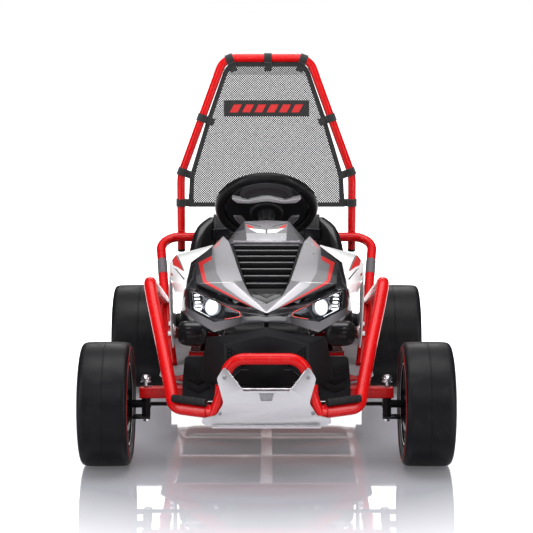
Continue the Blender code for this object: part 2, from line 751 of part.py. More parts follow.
def steering_hub():
    """The wheel's closed dish, seen from the front: domed cover, crossbar, boss and two spokes."""
    reach = STEER_RADIUS - GRIP_RADIUS - 0.0010
    bm = bmesh.new()
    cylinder(bm, on_column(0, 0, -0.0085), on_column(0, 0, -0.0055), reach, 36)
    obj = node("steering_hub", bm, BLACK_PLASTIC)
    # Plates standing on the dish: half outline across and up, distance out along the column
    dome = [(0.077, 0.024), (0.076, 0.045), (0.068, 0.063), (0.054, 0.079), (0.032, 0.090),
            (0.0, 0.0945)]
    bar = [(0.0, 0.0125), (0.060, 0.0140), (0.0955, 0.0190), (0.0955, 0.0270), (0.060, 0.0300),
           (0.0, 0.0330)]
    for half, out in ((dome, 0.0170), (bar, 0.0230)):
        middle_last = half + [(-a, b) for a, b in reversed(half[:-1])]
        outline = middle_last if half is dome else middle_last[:-1]
        tool = bmesh.new()
        prism(tool, outline, on_column(0, 0, -0.007), (1, 0, 0), WHEEL_UP, 0.007 - out)
        boolean(obj, tool, "UNION")
    tool = bmesh.new()
    cylinder(tool, on_column(0, 0, -0.042), on_column(0, 0, -0.006), 0.0400, 20, 0.0450)
    boolean(obj, tool, "UNION")
    tool = bmesh.new()
    cylinder(tool, on_column(0, 0, -0.049), on_column(0, 0, -0.030), 0.0300, 20, 0.0380)
    boolean(obj, tool, "UNION")
    leaf = [(0.056, -0.012), (0.092, -0.024), (0.094, -0.034), (0.070, -0.068), (0.052, -0.050)]
    for side in (1, -1):
        outline = [(side * a, b) for a, b in leaf]
        tool = bmesh.new()
        prism(tool, outline, on_column(0, 0, -0.007), (1, 0, 0), WHEEL_UP, -0.009 * side)
        if side < 0:
            bmesh.ops.recalc_face_normals(tool, faces=tool.faces)
        boolean(obj, tool, "UNION")
    tool = bmesh.new()
    cylinder(tool, on_column(0, 0, -0.060), on_column(0, 0, -0.015), COLUMN_RADIUS + GAP, 12)
    boolean(obj, tool, "DIFFERENCE")
    return obj


def steering_column():
    foot = on_column(0, 0, -COLUMN_LENGTH)
    crank = Vector((0, math.sqrt(0.5), -math.sqrt(0.5)))
    tip = foot + crank * CRANK_LENGTH
    bm = bmesh.new()
    sweep(bm, filleted([on_column(0, 0, -0.016), foot, tip], 0.010, 45.0), circle(0.006, 8))
    obj = node("steering_column", bm, DARK_STEEL)
    tool = bmesh.new()
    bmesh.ops.create_uvsphere(tool, u_segments=10, v_segments=6, radius=0.0075,
                              matrix=Matrix.Translation(tip))
    boolean(obj, tool, "UNION")
    return obj


def column_bracket():
    bush = on_column(0, 0, -0.440)
    bm = bmesh.new()
    cylinder(bm, bush - COLUMN_AXIS * 0.014, bush + COLUMN_AXIS * 0.014, 0.015, 16)
    obj = node("column_bracket", bm, DARK_STEEL)
    low = FRONT_RAIL_Z + RAIL_SIZE / 2 - 0.001 + GAP
    tool = bmesh.new()
    prism(tool, [(-0.335 - 0.012, low), (-0.335 + 0.012, low), (bush.y + 0.010, bush.z),
                 (bush.y - 0.012, bush.z - 0.004)],
          (-0.010, 0, 0), (0, 1, 0), (0, 0, 1), 0.020)
    boolean(obj, tool, "UNION")
    tool = bmesh.new()
    cylinder(tool, bush - COLUMN_AXIS * 0.05, bush + COLUMN_AXIS * 0.05, 0.0078, 12)
    boolean(obj, tool, "DIFFERENCE")
    return obj


def knuckle(name, side):
    pin = (side * KINGPIN_X, FRONT_Y)
    top = BEAM_Z - BEAM_SIZE / 2 - 0.0006
    bm = bmesh.new()
    cylinder(bm, (*pin, 0.112), (*pin, top), 0.0105, 10)
    obj = node(name, bm, DARK_STEEL)
    reach = TRACK_OUTER / 2 - 0.032
    tools = []
    tool = bmesh.new()
    cylinder(tool, (pin[0], FRONT_Y, WHEEL_RADIUS), (side * 0.318, FRONT_Y, WHEEL_RADIUS), 0.0095, 10)
    tools.append(tool)
    tool = bmesh.new()
    cylinder(tool, (pin[0], FRONT_Y, WHEEL_RADIUS), (side * reach, FRONT_Y, WHEEL_RADIUS), 0.0058, 10)
    tools.append(tool)
    tool = bmesh.new()
    box(tool, (side * (KINGPIN_X + 0.011), FRONT_Y, 0.1145), (0.042, 0.026, 0.006))
    tools.append(tool)
    tool = bmesh.new()
    arm = rounded([(-0.010, 0.0), (-0.008, ARM_LENGTH + 0.008), (0.008, ARM_LENGTH + 0.008),
                   (0.010, 0.0)], [0, 0.007, 0.007, 0])
    prism(tool, arm, (pin[0], FRONT_Y, ARM_Z - 0.003), (1, 0, 0), (0, 1, 0), 0.006)
    tools.append(tool)
    for tool in tools:
        boolean(obj, tool, "UNION")
    tool = bmesh.new()
    cylinder(tool, (*pin, 0.100), (*pin, 0.180), 0.0044, 10)
    boolean(obj, tool, "DIFFERENCE")
    tool = bmesh.new()
    cylinder(tool, (pin[0], FRONT_Y + ARM_LENGTH, ARM_Z - 0.02),
             (pin[0], FRONT_Y + ARM_LENGTH, ARM_Z + 0.02), 0.0038, 10)
    boolean(obj, tool, "DIFFERENCE")
    return obj


def kingpin(name, side):
    place = (side * KINGPIN_X, FRONT_Y, 0.0)
    beam_top = BEAM_Z + BEAM_SIZE / 2
    profile = [  # height, radius, from the hexagon's seat under the knuckle to the dome nut
        (0.1045, 0.0), (0.1045, 0.0075), (0.1113, 0.0075), (0.1113, 0.0040),
        (beam_top + 0.0105, 0.0040), (beam_top + 0.0105, 0.0150), (beam_top + 0.0130, 0.0150),
        (beam_top + 0.0130, 0.0100), (beam_top + 0.0220, 0.0100), (beam_top + 0.0280, 0.0070),
        (beam_top + 0.0300, 0.0),
    ]
    bm = bmesh.new()
    lathe(bm, profile, place, (0, 0, 1), 10)
    return node(name, bm, STEEL)


def track_rod():
    y = FRONT_Y + ARM_LENGTH
    bm = bmesh.new()
    cylinder(bm, (-KINGPIN_X, y, ROD_Z), (KINGPIN_X, y, ROD_Z), 0.005, 8)
    obj = node("track_rod", bm, DARK_STEEL)
    for side in (1, -1):
        tool = bmesh.new()
        cylinder(tool, (side * KINGPIN_X, y, ROD_Z - 0.008), (side * KINGPIN_X, y, 0.1398), 0.0080, 10)
        boolean(obj, tool, "UNION")
        tool = bmesh.new()
        cylinder(tool, (side * KINGPIN_X, y, ROD_Z), (side * KINGPIN_X, y, 0.1530), 0.0030, 8)
        boolean(obj, tool, "UNION")
        tool = bmesh.new()
        box(tool, (side * 0.0135, y + 0.003, ROD_Z + 0.022), (0.004, 0.018, 0.044))
        boolean(obj, tool, "UNION")
    return obj


# Nose mouldings. Points are for the left side, +X; x of 0 lies on the centre line.
GRILLE_TOP = Vector((0.0, -0.260, 0.501))
GRILLE_FOOT = Vector((0.0, -0.470, 0.390))


def on_grille(across, along, lift=0.0):
    """A point on the sloping grille: across, along from its top (0) to its foot (1), lift above."""
    slope = GRILLE_FOOT - GRILLE_TOP
    normal = Vector((0, slope.z, -slope.y)).normalized()
    return GRILLE_TOP + slope * along + Vector((across, 0, 0)) + normal * lift


def hood_grille():
    outline = [(0.084, 0.015), (0.0500, 0.660), (0.0310, 0.885), (0.0, 0.985)]
    lift = -0.014
    corners = [(*on_grille(a, t, lift),) for a, t in outline]
    corners += [mirror_x(p) for p in reversed(corners[:-1])]
    bm = bmesh.new()
    near = [bm.verts.new(p) for p in corners]
    normal = on_grille(0, 0, 1) - on_grille(0, 0, 0)
    far = [bm.verts.new(v.co + normal * 0.006) for v in near]
    bm.faces.new(near)
    bm.faces.new(list(reversed(far)))
    for k in range(len(near)):
        j = (k + 1) % len(near)
        bm.faces.new((near[j], near[k], far[k], far[j]))
    bmesh.ops.recalc_face_normals(bm, faces=bm.faces)
    obj = node("hood_grille", bm, BLACK_PLASTIC)
    slats = [0.035, 0.125, 0.225, 0.330, 0.440, 0.555, 0.680]  # along the grille
    slope = (GRILLE_FOOT - GRILLE_TOP).length
    for along in slats:
        half = 0.080 - 0.047 * along
        tool = bmesh.new()
        blade = [(0.0, lift + 0.002), (0.010, lift + 0.002), (0.0045, 0.000), (0.0, 0.001)]
        points = [on_grille(-half, along + run / slope, lift_up) for run, lift_up in blade]
        near = [tool.verts.new(p) for p in points]
        far = [tool.verts.new(p + Vector((2 * half, 0, 0))) for p in points]
        tool.faces.new(near)
        tool.faces.new(list(reversed(far)))
        for k in range(4):
            j = (k + 1) % 4
            tool.faces.new((near[j], near[k], far[k], far[j]))
        bmesh.ops.recalc_face_normals(tool, faces=tool.faces)
        boolean(obj, tool, "UNION")
    return obj


def hood_points():
    return {
        "inner_top": on_grille(0.0905, -0.01, 0.003),
        "inner_mid": on_grille(0.0550, 0.660, 0.003),
        "inner_low": on_grille(0.0355, 0.900, 0.003),
        "inner_foot": on_grille(0.0, 1.030, 0.003),
        "crown": Vector((0.104, -0.240, 0.516)),
        "shoulder": Vector((0.131, -0.270, 0.492)),
        "corner": Vector((0.1712, -0.300, 0.4615)),
        "hip": Vector((0.1640, -0.387, 0.4220)),
        "apex": Vector((0.0, -0.520, 0.376)),
        "ridge": Vector((0.076, -0.420, 0.430)),
    }


def hood_panel():
    faces = [
        ("inner_top", "crown", "shoulder", "inner_mid"),
        ("inner_mid", "shoulder", "corner", "hip"),
        ("inner_mid", "hip", "ridge"),
        ("inner_mid", "ridge", "inner_low"),
        ("ridge", "hip", "apex"),
        ("inner_low", "ridge", "apex", "inner_foot"),
    ]
    return shell("hood_panel", hood_points(), faces, 0.003, SILVER_PLASTIC, (0, -0.4, 1.0), True)


def wing_points():
    return {
        "top_in": Vector((0.1290, -0.2530, 0.4960)), "top_out": Vector((0.2217, -0.1800, 0.4621)),
        "edge": Vector((0.2398, -0.1840, 0.4400)), "flank": Vector((0.2323, -0.2500, 0.4090)),
        "toe": Vector((0.1990, -0.3830, 0.3560)), "light": Vector((0.1935, -0.3730, 0.4150)),
        "notch": Vector((0.1865, -0.3350, 0.4370)), "knee": Vector((0.1820, -0.2980, 0.4610)),
        "bend": Vector((0.1420, -0.2700, 0.4870)), "crest": Vector((0.2050, -0.2350, 0.4560)),
    }


def wing(name, side):
    points = {key: (side * p.x, p.y, p.z) for key, p in wing_points().items()}
    faces = [
        ("top_in", "bend", "crest", "top_out"), ("bend", "knee", "crest"),
        ("crest", "knee", "notch", "light"), ("top_out", "crest", "edge"),
        ("crest", "light", "flank", "edge"), ("light", "toe", "flank"),
    ]
    return shell(name, points, faces, 0.003, WHITE_PLASTIC, (0, -0.4, 1.0))


def side_panel(name, side):
    """Upright panel inside the seat hoop's side tube, held to it by two spacers."""
    outline = [(-0.185, 0.428), (-0.060, 0.392), (0.060, 0.335), (0.064, 0.262),
               (0.012, 0.216), (-0.060, 0.204), (-0.130, 0.250), (-0.205, 0.372)]
    bm = bmesh.new()
    near = [bm.verts.new((side * SIDE_PANEL_X, y, z)) for y, z in rounded(outline, 0.012)]
    far = [bm.verts.new(v.co + Vector((side * 0.003, 0, 0))) for v in near]
    count = len(near)
    bm.faces.new(near)
    bm.faces.new(list(reversed(far)))
    for k in range(count):
        j = (k + 1) % count
        bm.faces.new((near[j], near[k], far[k], far[j]))
    bmesh.ops.recalc_face_normals(bm, faces=bm.faces)
    obj = node(name, bm, WHITE_PLASTIC)
    for y, z in ((0.030, 0.226), (0.056, 0.247)):
        tool = bmesh.new()
        inner = SIDE_PANEL_X + 0.001
        cylinder(tool, (side * inner, y, z), (side * (inner + 0.018), y, z), 0.006, 10)
        boolean(obj, tool, "UNION")
    tool = bmesh.new()
    sweep(tool, seat_hoop_path(), circle(SEAT_TUBE_RADIUS + GAP, 12))
    boolean(obj, tool, "DIFFERENCE")
    keep_largest(obj)
    return obj


def bezel_points():
    return {
        "strip_in": Vector((0.118, -0.268, 0.484)), "strip_out": Vector((0.150, -0.258, 0.480)),
        "band_in": Vector((0.160, -0.306, 0.4545)), "band_out": Vector((0.188, -0.300, 0.4440)),
        "brow_mid": Vector((0.1570, -0.398, 0.411)), "brow_in": Vector((0.0, -0.5270, 0.3705)),
        "notch": Vector((0.1860, -0.352, 0.4200)), "outer_top": Vector((0.1920, -0.390, 0.4070)),
        "outer_low": Vector((0.1965, -0.402, 0.3600)), "lens_a": Vector((0.1800, -0.417, 0.4145)),
        "lens_b": Vector((0.1750, -0.430, 0.3665)), "lens_c": Vector((0.1210, -0.475, 0.3470)),
        "lens_d": Vector((0.0530, -0.519, 0.3660)), "lens_in": Vector((0.0560, -0.513, 0.3760)),
        "chin_out": Vector((0.1900, -0.422, 0.3555)), "chin_low": Vector((0.1205, -0.488, 0.3260)),
        "chin_in": Vector((0.1035, -0.495, 0.3318)), "chin_mid": Vector((0.0570, -0.530, 0.3535)),
        "mid_low": Vector((0.0, -0.545, 0.3590)),
    }


def light_bezel():
    faces = [
        ("strip_in", "strip_out", "band_out", "band_in"),
        ("band_in", "band_out", "notch", "brow_mid"),
        ("notch", "outer_top", "lens_a", "brow_mid"),
        ("brow_mid", "lens_a", "lens_in", "brow_in"),
        ("outer_top", "outer_low", "lens_b", "lens_a"),
        ("outer_low", "chin_out", "lens_b"),
        ("chin_out", "chin_low", "lens_c", "lens_b"),
        ("chin_low", "chin_in", "chin_mid", "lens_d", "lens_c"),
        ("chin_mid", "mid_low", "brow_in", "lens_in", "lens_d"),
    ]
    return shell("light_bezel", bezel_points(), faces, 0.003, GLOSS_BLACK, (0, -1.0, 0.3), True)


def lamp_opening(side):
    """The bezel's opening for one lamp, its middle, and the direction it faces."""
    corners = [bezel_points()[key] for key in ("lens_a", "lens_b", "lens_c", "lens_d", "lens_in")]
    corners = [Vector((side * p.x, p.y, p.z)) for p in corners]
    centre = sum(corners, Vector()) / len(corners)
    normal = (corners[1] - corners[0]).cross(corners[2] - corners[0]).normalized()
    return corners, centre, normal if normal.y < 0 else -normal


def headlight(name, side):
    """A lens with a raised middle in front of its tapered lamp body."""
    corners, centre, normal = lamp_opening(side)
    bm = bmesh.new()
    near = [bm.verts.new(centre + (p - centre) * 0.86 - normal * 0.005) for p in corners]
    far = [bm.verts.new(centre + (p - centre) * 0.62 - normal * LAMP_DEPTH) for p in corners]
    for vert in far:
        vert.co -= normal * (vert.co - centre).dot(normal) + normal * LAMP_DEPTH
    crown = bm.verts.new(centre + normal * 0.002)
    count = len(near)
    for k in range(count):
        j = (k + 1) % count
        bm.faces.new((near[k], near[j], crown))
        bm.faces.new((near[j], near[k], far[k], far[j]))
    bm.faces.new(far)
    bmesh.ops.recalc_face_normals(bm, faces=bm.faces)
    return node(name, bm, LENS)


def shroud_points():
    return {
        "top_mid": Vector((0.0, -0.543, 0.3480)), "top_in": Vector((0.104, -0.502, 0.3200)),
        "top_out": Vector((0.1366, -0.480, 0.3140)), "side_low": Vector((0.1560, -0.482, 0.2180)),
        "side_foot": Vector((0.1480, -0.487, 0.2120)), "face_top": Vector((0.0, -0.558, 0.3300)),
        "face_out": Vector((0.096, -0.530, 0.3050)), "face_low": Vector((0.092, -0.548, 0.2120)),
        "face_foot": Vector((0.0, -0.562, 0.2120)),
    }


def lower_shroud():
    faces = [
        ("top_mid", "face_top", "face_out", "top_in"),
        ("top_in", "face_out", "top_out"),
        ("face_top", "face_foot", "face_low", "face_out"),
        ("face_out", "face_low", "side_foot", "side_low", "top_out"),
    ]
    return shell("lower_shroud", shroud_points(), faces, 0.0035, BLACK_PLASTIC, (0, -1.0, 0.0),
                 True)


def dash_cowl():
    # Sections from the grille back to the wheel, half of each: place along, then across and
    # height of the console's edge, of the flank and of the foot
    sections = [
        (-0.252, (0.0480, 0.5035), (0.0700, 0.5020), (0.0900, 0.4985)),
        (-0.235, (0.0495, 0.5120), (0.0800, 0.5080), (0.0960, 0.5020)),
        (-0.208, (0.0530, 0.5275), (0.0790, 0.5195), (0.0930, 0.5000)),
        (-0.178, (0.0560, 0.5440), (0.0680, 0.5290), (0.0780, 0.4950)),
        (-0.140, (0.0500, 0.5360), (0.0580, 0.5200), (0.0640, 0.4880)),
    ]
    crown, bottom = 0.0025, 0.482
    bm = bmesh.new()
    rings = []
    for y, edge, flank, foot in sections:
        half = [(foot[0], bottom), foot, flank, edge]
        ring = half + [(0.0, edge[1] + crown)] + [(-x, z) for x, z in reversed(half)]
        rings.append([bm.verts.new((x, y, z)) for x, z in ring])
    count = len(rings[0])
    for ring, following in zip(rings, rings[1:]):
        for k in range(count):
            j = (k + 1) % count
            bm.faces.new((ring[k], ring[j], following[j], following[k]))
    bm.faces.new(rings[0])
    bm.faces.new(list(reversed(rings[-1])))
    bmesh.ops.recalc_face_normals(bm, faces=bm.faces)
    return node("dash_cowl", bm, SILVER_PLASTIC)


def stud_path(points, names, wall, root, reach=0.018):
    """A stud's route from its root to just behind the panel face that holds the named points."""
    corners = [points[name] for name in names]
    middle = sum(corners, Vector()) / len(corners)
    normal = (corners[1] - corners[0]).cross(corners[2] - corners[0]).normalized()
    root = Vector(root)
    if normal.dot(middle - root) < 0:
        normal = -normal
    seat = middle - normal * (wall + GAP)
    return [root, seat - normal * reach, seat]


def nose_frame():
    """Welded rod hoop on the front rails, with studs out to every nose moulding."""
    foot = FRONT_RAIL_Z + RAIL_SIZE / 2 + GAP
    half = [(0.1035, -0.470, foot), (0.1035, -0.470, 0.250), (0.1035, -0.448, 0.318),
            (0.0780, -0.425, 0.378)]
    hoop = filleted(half + [mirror_x(p) for p in reversed(half)], 0.02, 45.0)
    bm = bmesh.new()
    sweep(bm, hoop, circle(ROD_RADIUS, 8))
    obj = node("nose_frame", bm, DARK_STEEL)
    spine = [(0, -0.425, 0.378), (0, -0.300, 0.450), (0, -0.200, 0.4770)]
    flats = [spine, [(-0.150, -0.300, 0.4150), (-0.060, -0.300, 0.4480), (0.060, -0.300, 0.4480),
                     (0.150, -0.300, 0.4150)]]
    for side in (1, -1):
        hood, bezel, shroud, wings = (
            {key: Vector((side * p.x, p.y, p.z)) for key, p in points.items()}
            for points in (hood_points(), bezel_points(), shroud_points(), wing_points()))
        flats += [
            stud_path(hood, ("inner_mid", "hip", "ridge"), 0.003, (side * 0.078, -0.425, 0.378)),
            stud_path(bezel, ("chin_low", "lens_c", "chin_in"), 0.003,
                      (side * 0.1035, -0.450, 0.312), 0.004),
            stud_path(shroud, ("face_out", "face_low", "face_foot"), 0.0035,
                      (side * 0.1035, -0.468, 0.256), 0.010),
            stud_path(wings, ("bend", "knee", "crest"), 0.003, (side * 0.149, -0.300, 0.4153)),
        ]
        centre, normal = lamp_opening(side)[1:]
        back = centre - normal * (LAMP_DEPTH + GAP)
        flats.append([(side * 0.092, -0.438, 0.345), back - normal * 0.006, back])
    for flat in flats:
        tool = bmesh.new()
        sweep(tool, flat, rectangle(0.010, 0.003))
        boolean(obj, tool, "UNION")
    return obj


def pedal(name, side):
    # Tread plate with raised ribs, wider at its foot, on a bracket on the axle beam's face
    outline = [(-0.0375, 0.0), (0.0375, 0.0), (0.0375, 0.040), (0.0310, 0.108), (-0.0310, 0.108),
               (-0.0375, 0.040)]
    lean = math.radians(6)
    up = Vector((0, -math.sin(lean), math.cos(lean)))
    origin = Vector((side * 0.157, -0.4505, 0.1580))
    bm = bmesh.new()
    prism(bm, rounded(outline, [0.006, 0.006, 0.02, 0.010, 0.010, 0.02]), origin, (1, 0, 0), up,
          0.006)
    obj = node(name, bm, BLACK_PLASTIC)
    face = Vector((1, 0, 0)).cross(up)
    for height in (0.030, 0.050, 0.070, 0.090):
        for lean_side in (1, -1):
            turn = Matrix((Vector((1, 0, 0)), up, face)).transposed().to_4x4()
            turn = turn @ Matrix.Rotation(math.radians(28 * lean_side), 4, "Z")
            tool = bmesh.new()
            middle = origin + Vector((lean_side * 0.013, 0, 0)) + up * (height - 0.006) + face * 0.0065
            box(tool, middle, (0.030, 0.004, 0.004), turn)
            boolean(obj, tool, "UNION")
    tool = bmesh.new()
    box(tool, (side * 0.157, -0.4482, 0.1760), (0.030, 0.0098, 0.014))
    boolean(obj, tool, "UNION")
    return obj


def build():
    clear_scene()
    kart = bpy.data.objects.new("kart", None)
    bpy.context.scene.collection.objects.link(kart)
    kart.location = (0.0, BOX_SHIFT, 0.0)

    fixed = [
        chassis_frame(), front_axle_beam(), floor_plate(), seat_frame(), seat_hoop(),
        bumper_hoop(), skid_plate(), roll_cage(), cage_net(), seat_shell(), battery_pack(),
        rear_axle(), column_bracket(), hood_grille(), hood_panel(), light_bezel(),
        lower_shroud(), dash_cowl(), nose_frame(),
    ]
    for end, side in (("left", 1), ("right", -1)):
        fixed += [
            guard_bar("guard_bar_" + end, side), foot_grip("foot_grip_" + end, side),
            harness("harness_" + end, side), motor("motor_" + end, side),
            wing("wing_" + end, side), side_panel("side_panel_" + end, side),
            headlight("headlight_" + end, side), pedal("pedal_" + end, side),
        ]
    for obj in fixed:
        hang_on(obj, kart)

    for obj in (steering_rim(), steering_hub(), steering_column()):
        hang_on(obj, kart, WHEEL_CENTRE)
    hang_on(track_rod(), kart, (KINGPIN_X, FRONT_Y + ARM_LENGTH, ROD_Z))
    for end, side in (("left", 1), ("right", -1)):
        pin = (side * KINGPIN_X, FRONT_Y, WHEEL_RADIUS)
        hang_on(knuckle("knuckle_" + end, side), kart, pin)
        hang_on(kingpin("kingpin_" + end, side), kart, pin)
        for place, y, width, hub in (("front", FRONT_Y, FRONT_TYRE_WIDTH, -0.045),
                                     ("rear", REAR_Y, REAR_TYRE_WIDTH, -0.066)):
            centre = (side * (TRACK_OUTER - width) / 2, y, WHEEL_RADIUS)
            hang_on(tyre(f"tyre_{place}_{end}", side, y, width), kart, centre)
            hang_on(rim(f"rim_{place}_{end}", side, y, width, hub), kart, centre)


build()
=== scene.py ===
# Looks of the electric drift kart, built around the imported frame.
# Places are measured from the middle of the wheelbase, as the frame was drawn, and spot() moves them.
import math

import bpy
from mathutils import Matrix, Vector


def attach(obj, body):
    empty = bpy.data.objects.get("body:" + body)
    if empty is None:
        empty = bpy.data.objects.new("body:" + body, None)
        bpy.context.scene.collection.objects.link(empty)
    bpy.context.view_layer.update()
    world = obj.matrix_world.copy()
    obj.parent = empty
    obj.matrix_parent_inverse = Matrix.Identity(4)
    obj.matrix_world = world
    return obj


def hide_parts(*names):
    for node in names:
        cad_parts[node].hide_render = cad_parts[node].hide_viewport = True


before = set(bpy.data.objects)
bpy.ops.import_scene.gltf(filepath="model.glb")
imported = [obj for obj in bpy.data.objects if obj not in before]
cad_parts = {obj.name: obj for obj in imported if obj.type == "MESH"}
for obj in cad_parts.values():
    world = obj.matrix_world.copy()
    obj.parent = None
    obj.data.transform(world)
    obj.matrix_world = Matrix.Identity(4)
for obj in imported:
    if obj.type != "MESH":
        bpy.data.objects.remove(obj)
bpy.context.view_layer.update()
scene = bpy.context.scene

alongShift = 0.035  # the middle of the wheelbase lies this far behind the origin
ends = (("left", 1), ("right", -1))  # names and sides of what comes in pairs


def spot(x, y, z):
    return Vector((x, y + alongShift, z))


# camera, floor and lights
cameraSet = {"place": (0.0, -4.208, 1.022), "downTilt": 8.258, "lens": 112.84, "sensor": 36.0}
bpy.ops.object.camera_add(location=cameraSet["place"],
                          rotation=(math.radians(90 - cameraSet["downTilt"]), 0, 0))
camera = bpy.context.object
camera.data.sensor_width = cameraSet["sensor"]
camera.data.lens = cameraSet["lens"]
camera.data.clip_end = 100
scene.camera = camera
scene.view_settings.view_transform = "Standard"
scene.view_settings.gamma = 0.86

lightSet = [  # name, place, aimed at, width, height, watts
    ("softboxTop", (0.0, -0.4, 3.2), (0.0, 0.1, 0.3), 2.6, 1.8, 75),
    ("softboxLeft", (-2.6, -2.2, 1.5), (0.0, 0.0, 0.4), 0.55, 2.6, 50),
    ("softboxRight", (2.6, -2.2, 1.5), (0.0, 0.0, 0.4), 0.55, 2.6, 50),
    ("softboxFront", (0.0, -4.8, 3.0), (0.0, 0.0, 0.3), 2.2, 0.8, 60),
    ("softboxBack", (0.0, 3.4, 2.4), (0.0, 0.2, 0.5), 2.6, 1.2, 40),
]
for name, place, aim, width, height, watts in lightSet:
    bpy.ops.object.light_add(type="AREA", location=place)
    light = bpy.context.object
    light.name = name
    light.rotation_euler = (Vector(aim) - Vector(place)).to_track_quat("-Z", "Y").to_euler()
    light.data.shape = "RECTANGLE"
    light.data.size = width
    light.data.size_y = height
    light.data.energy = watts
skySet = {"fill": 1.25, "softness": 80.0, "backdrop": 1.0, "ambient": 0.1}
bpy.ops.object.light_add(type="SUN", location=(0, 0, 4))
fill = bpy.context.object
fill.name = "ceilingFill"
fill.data.energy = skySet["fill"]
fill.data.angle = math.radians(skySet["softness"])
world = bpy.data.worlds.new("studio")
scene.world = world
world.use_nodes = True
worldNodes, worldLinks = world.node_tree.nodes, world.node_tree.links
plain = worldNodes["Background"]
plain.inputs["Color"].default_value = (1, 1, 1, 1)
plain.inputs["Strength"].default_value = skySet["ambient"]
backdrop = worldNodes.new("ShaderNodeBackground")
backdrop.inputs["Color"].default_value = (1, 1, 1, 1)
backdrop.inputs["Strength"].default_value = skySet["backdrop"]
rays = worldNodes.new("ShaderNodeLightPath")
either = worldNodes.new("ShaderNodeMixShader")
worldLinks.new(rays.outputs["Is Camera Ray"], either.inputs[0])
worldLinks.new(plain.outputs[0], either.inputs[1])
worldLinks.new(backdrop.outputs[0], either.inputs[2])
worldLinks.new(either.outputs[0], worldNodes["World Output"].inputs["Surface"])
print("camera and lights placed")


# small tools for modelling by operators
def use(obj):
    bpy.ops.object.select_all(action="DESELECT")
    obj.select_set(True)
    bpy.context.view_layer.objects.active = obj


def made(add, **settings):  # what one of the add operators makes, with nothing else selected
    bpy.ops.object.select_all(action="DESELECT")
    add(**settings)
    return bpy.context.object


def joined(name, parts):
    use(parts[0])
    for part in parts[1:]:
        part.select_set(True)
    if len(parts) > 1:
        bpy.ops.object.join()
    obj = bpy.context.view_layer.objects.active
    obj.name = obj.data.name = name
    return obj


def settle(obj):  # an object's place, turn and size go into its mesh
    use(obj)
    bpy.ops.object.transform_apply(location=True, rotation=True, scale=True)
    return obj


def pickFaces(obj, test):  # selects faces by their middle and normal
    use(obj)
    mesh = obj.data
    for item in (mesh.vertices, mesh.edges, mesh.polygons):
        for part in item:
            part.select = False
    for face in mesh.polygons:
        face.select = test(face.center, face.normal)
    bpy.ops.object.mode_set(mode="EDIT")
    bpy.ops.mesh.select_mode(type="FACE")


def done():
    bpy.ops.object.mode_set(mode="OBJECT")


def editAll(obj):
    use(obj)
    bpy.ops.object.mode_set(mode="EDIT")
    bpy.ops.mesh.select_all(action="SELECT")


def squeeze(obj, test, size, **settings):  # resizes the faces that pass the test
    pickFaces(obj, test)
    bpy.ops.transform.resize(value=size, **settings)
    done()


def pocket(obj, test, border, push, size=None, **settings):  # sets faces in and pushes them down
    pickFaces(obj, test)
    bpy.ops.mesh.inset(thickness=border)
    bpy.ops.mesh.extrude_region_move(TRANSFORM_OT_translate={"value": push})
    if size:
        bpy.ops.transform.resize(value=size, **settings)
    done()


def hollowed(obj, border):  # leaves only a border of a flat drawing
    pickFaces(obj, lambda c, n: True)
    bpy.ops.mesh.inset(thickness=border)
    bpy.ops.mesh.delete(type="FACE")
    done()


def trimmed(obj, corners, middle):  # cuts a flat mesh down to a convex outline round middle
    use(obj)
    bpy.ops.object.mode_set(mode="EDIT")
    for (x, y), (nextX, nextY) in zip(corners, corners[1:] + corners[:1]):
        normal = Vector((nextY - y, x - nextX, 0))
        if normal.dot(Vector((middle[0] - x, middle[1] - y, 0))) > 0:
            normal = -normal
        bpy.ops.mesh.select_all(action="SELECT")
        bpy.ops.mesh.bisect(plane_co=(x, y, 0), plane_no=normal, clear_outer=True)
    done()


def modify(obj, kind, **settings):
    use(obj)
    bpy.ops.object.modifier_add(type=kind)
    step = obj.modifiers[-1]
    for key, value in settings.items():
        setattr(step, key, value)
    bpy.ops.object.modifier_apply(modifier=step.name)
    return obj


def recalculate(obj):
    editAll(obj)
    bpy.ops.mesh.remove_doubles(threshold=1e-6)
    bpy.ops.mesh.normals_make_consistent(inside=False)
    done()
    return obj


def softEdges(obj, width, segments=2, angle=30):
    return modify(obj, "BEVEL", width=width, segments=segments, limit_method="ANGLE",
                  angle_limit=math.radians(angle), harden_normals=False)


def fit(shape, name, finish, replaces=(), angle=35, body="chassis"):
    # the last step of every piece: one mesh with its name, finish, smoothing, body and
    # the solids it stands for
    obj = joined(name, shape if isinstance(shape, list) else [shape])
    obj.data.materials.clear()
    obj.data.materials.append(finish)
    settle(obj)
    if angle:
        bpy.ops.object.shade_smooth_by_angle(angle=math.radians(angle))
    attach(obj, body)
    if replaces:
        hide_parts(*replaces)
    return obj


def roundedRoute(points, radii, step=9.0):
    # rounds the inner corners of a route, with a point about every step degrees
    points = [Vector(p) for p in points]
    radii = radii if isinstance(radii, (list, tuple)) else [radii] * (len(points) - 2)
    route = [points[0]]
    for before, corner, after, bend in zip(points, points[1:], points[2:], radii):
        into, out = (corner - before).normalized(), (after - corner).normalized()
        half = into.angle(out) / 2
        if half < 0.02:
            route.append(corner)
            continue
        centre = corner + (out - into).normalized() * (bend / math.cos(half))
        spoke = corner - into * bend * math.tan(half) - centre
        axis = into.cross(out).normalized()
        steps = max(1, round(math.degrees(2 * half) / step))
        for i in range(steps + 1):
            route.append(centre + Matrix.Rotation(2 * half * i / steps, 3, axis) @ spoke)
    route.append(points[-1])
    return route


def bothSides(half):  # a route drawn for the left half, carried on to the right
    return half + [Vector((-p.x, p.y, p.z)) for p in reversed(half)]


def spots(points, side=1):  # the places of points drawn for the left side, or of their mirror images
    return [spot(side * x, y, z) for x, y, z in points]


def wholeOutline(half):  # the left half of an outline, carried round to the right
    return half + [(-x, y) for x, y in reversed(half) if x]


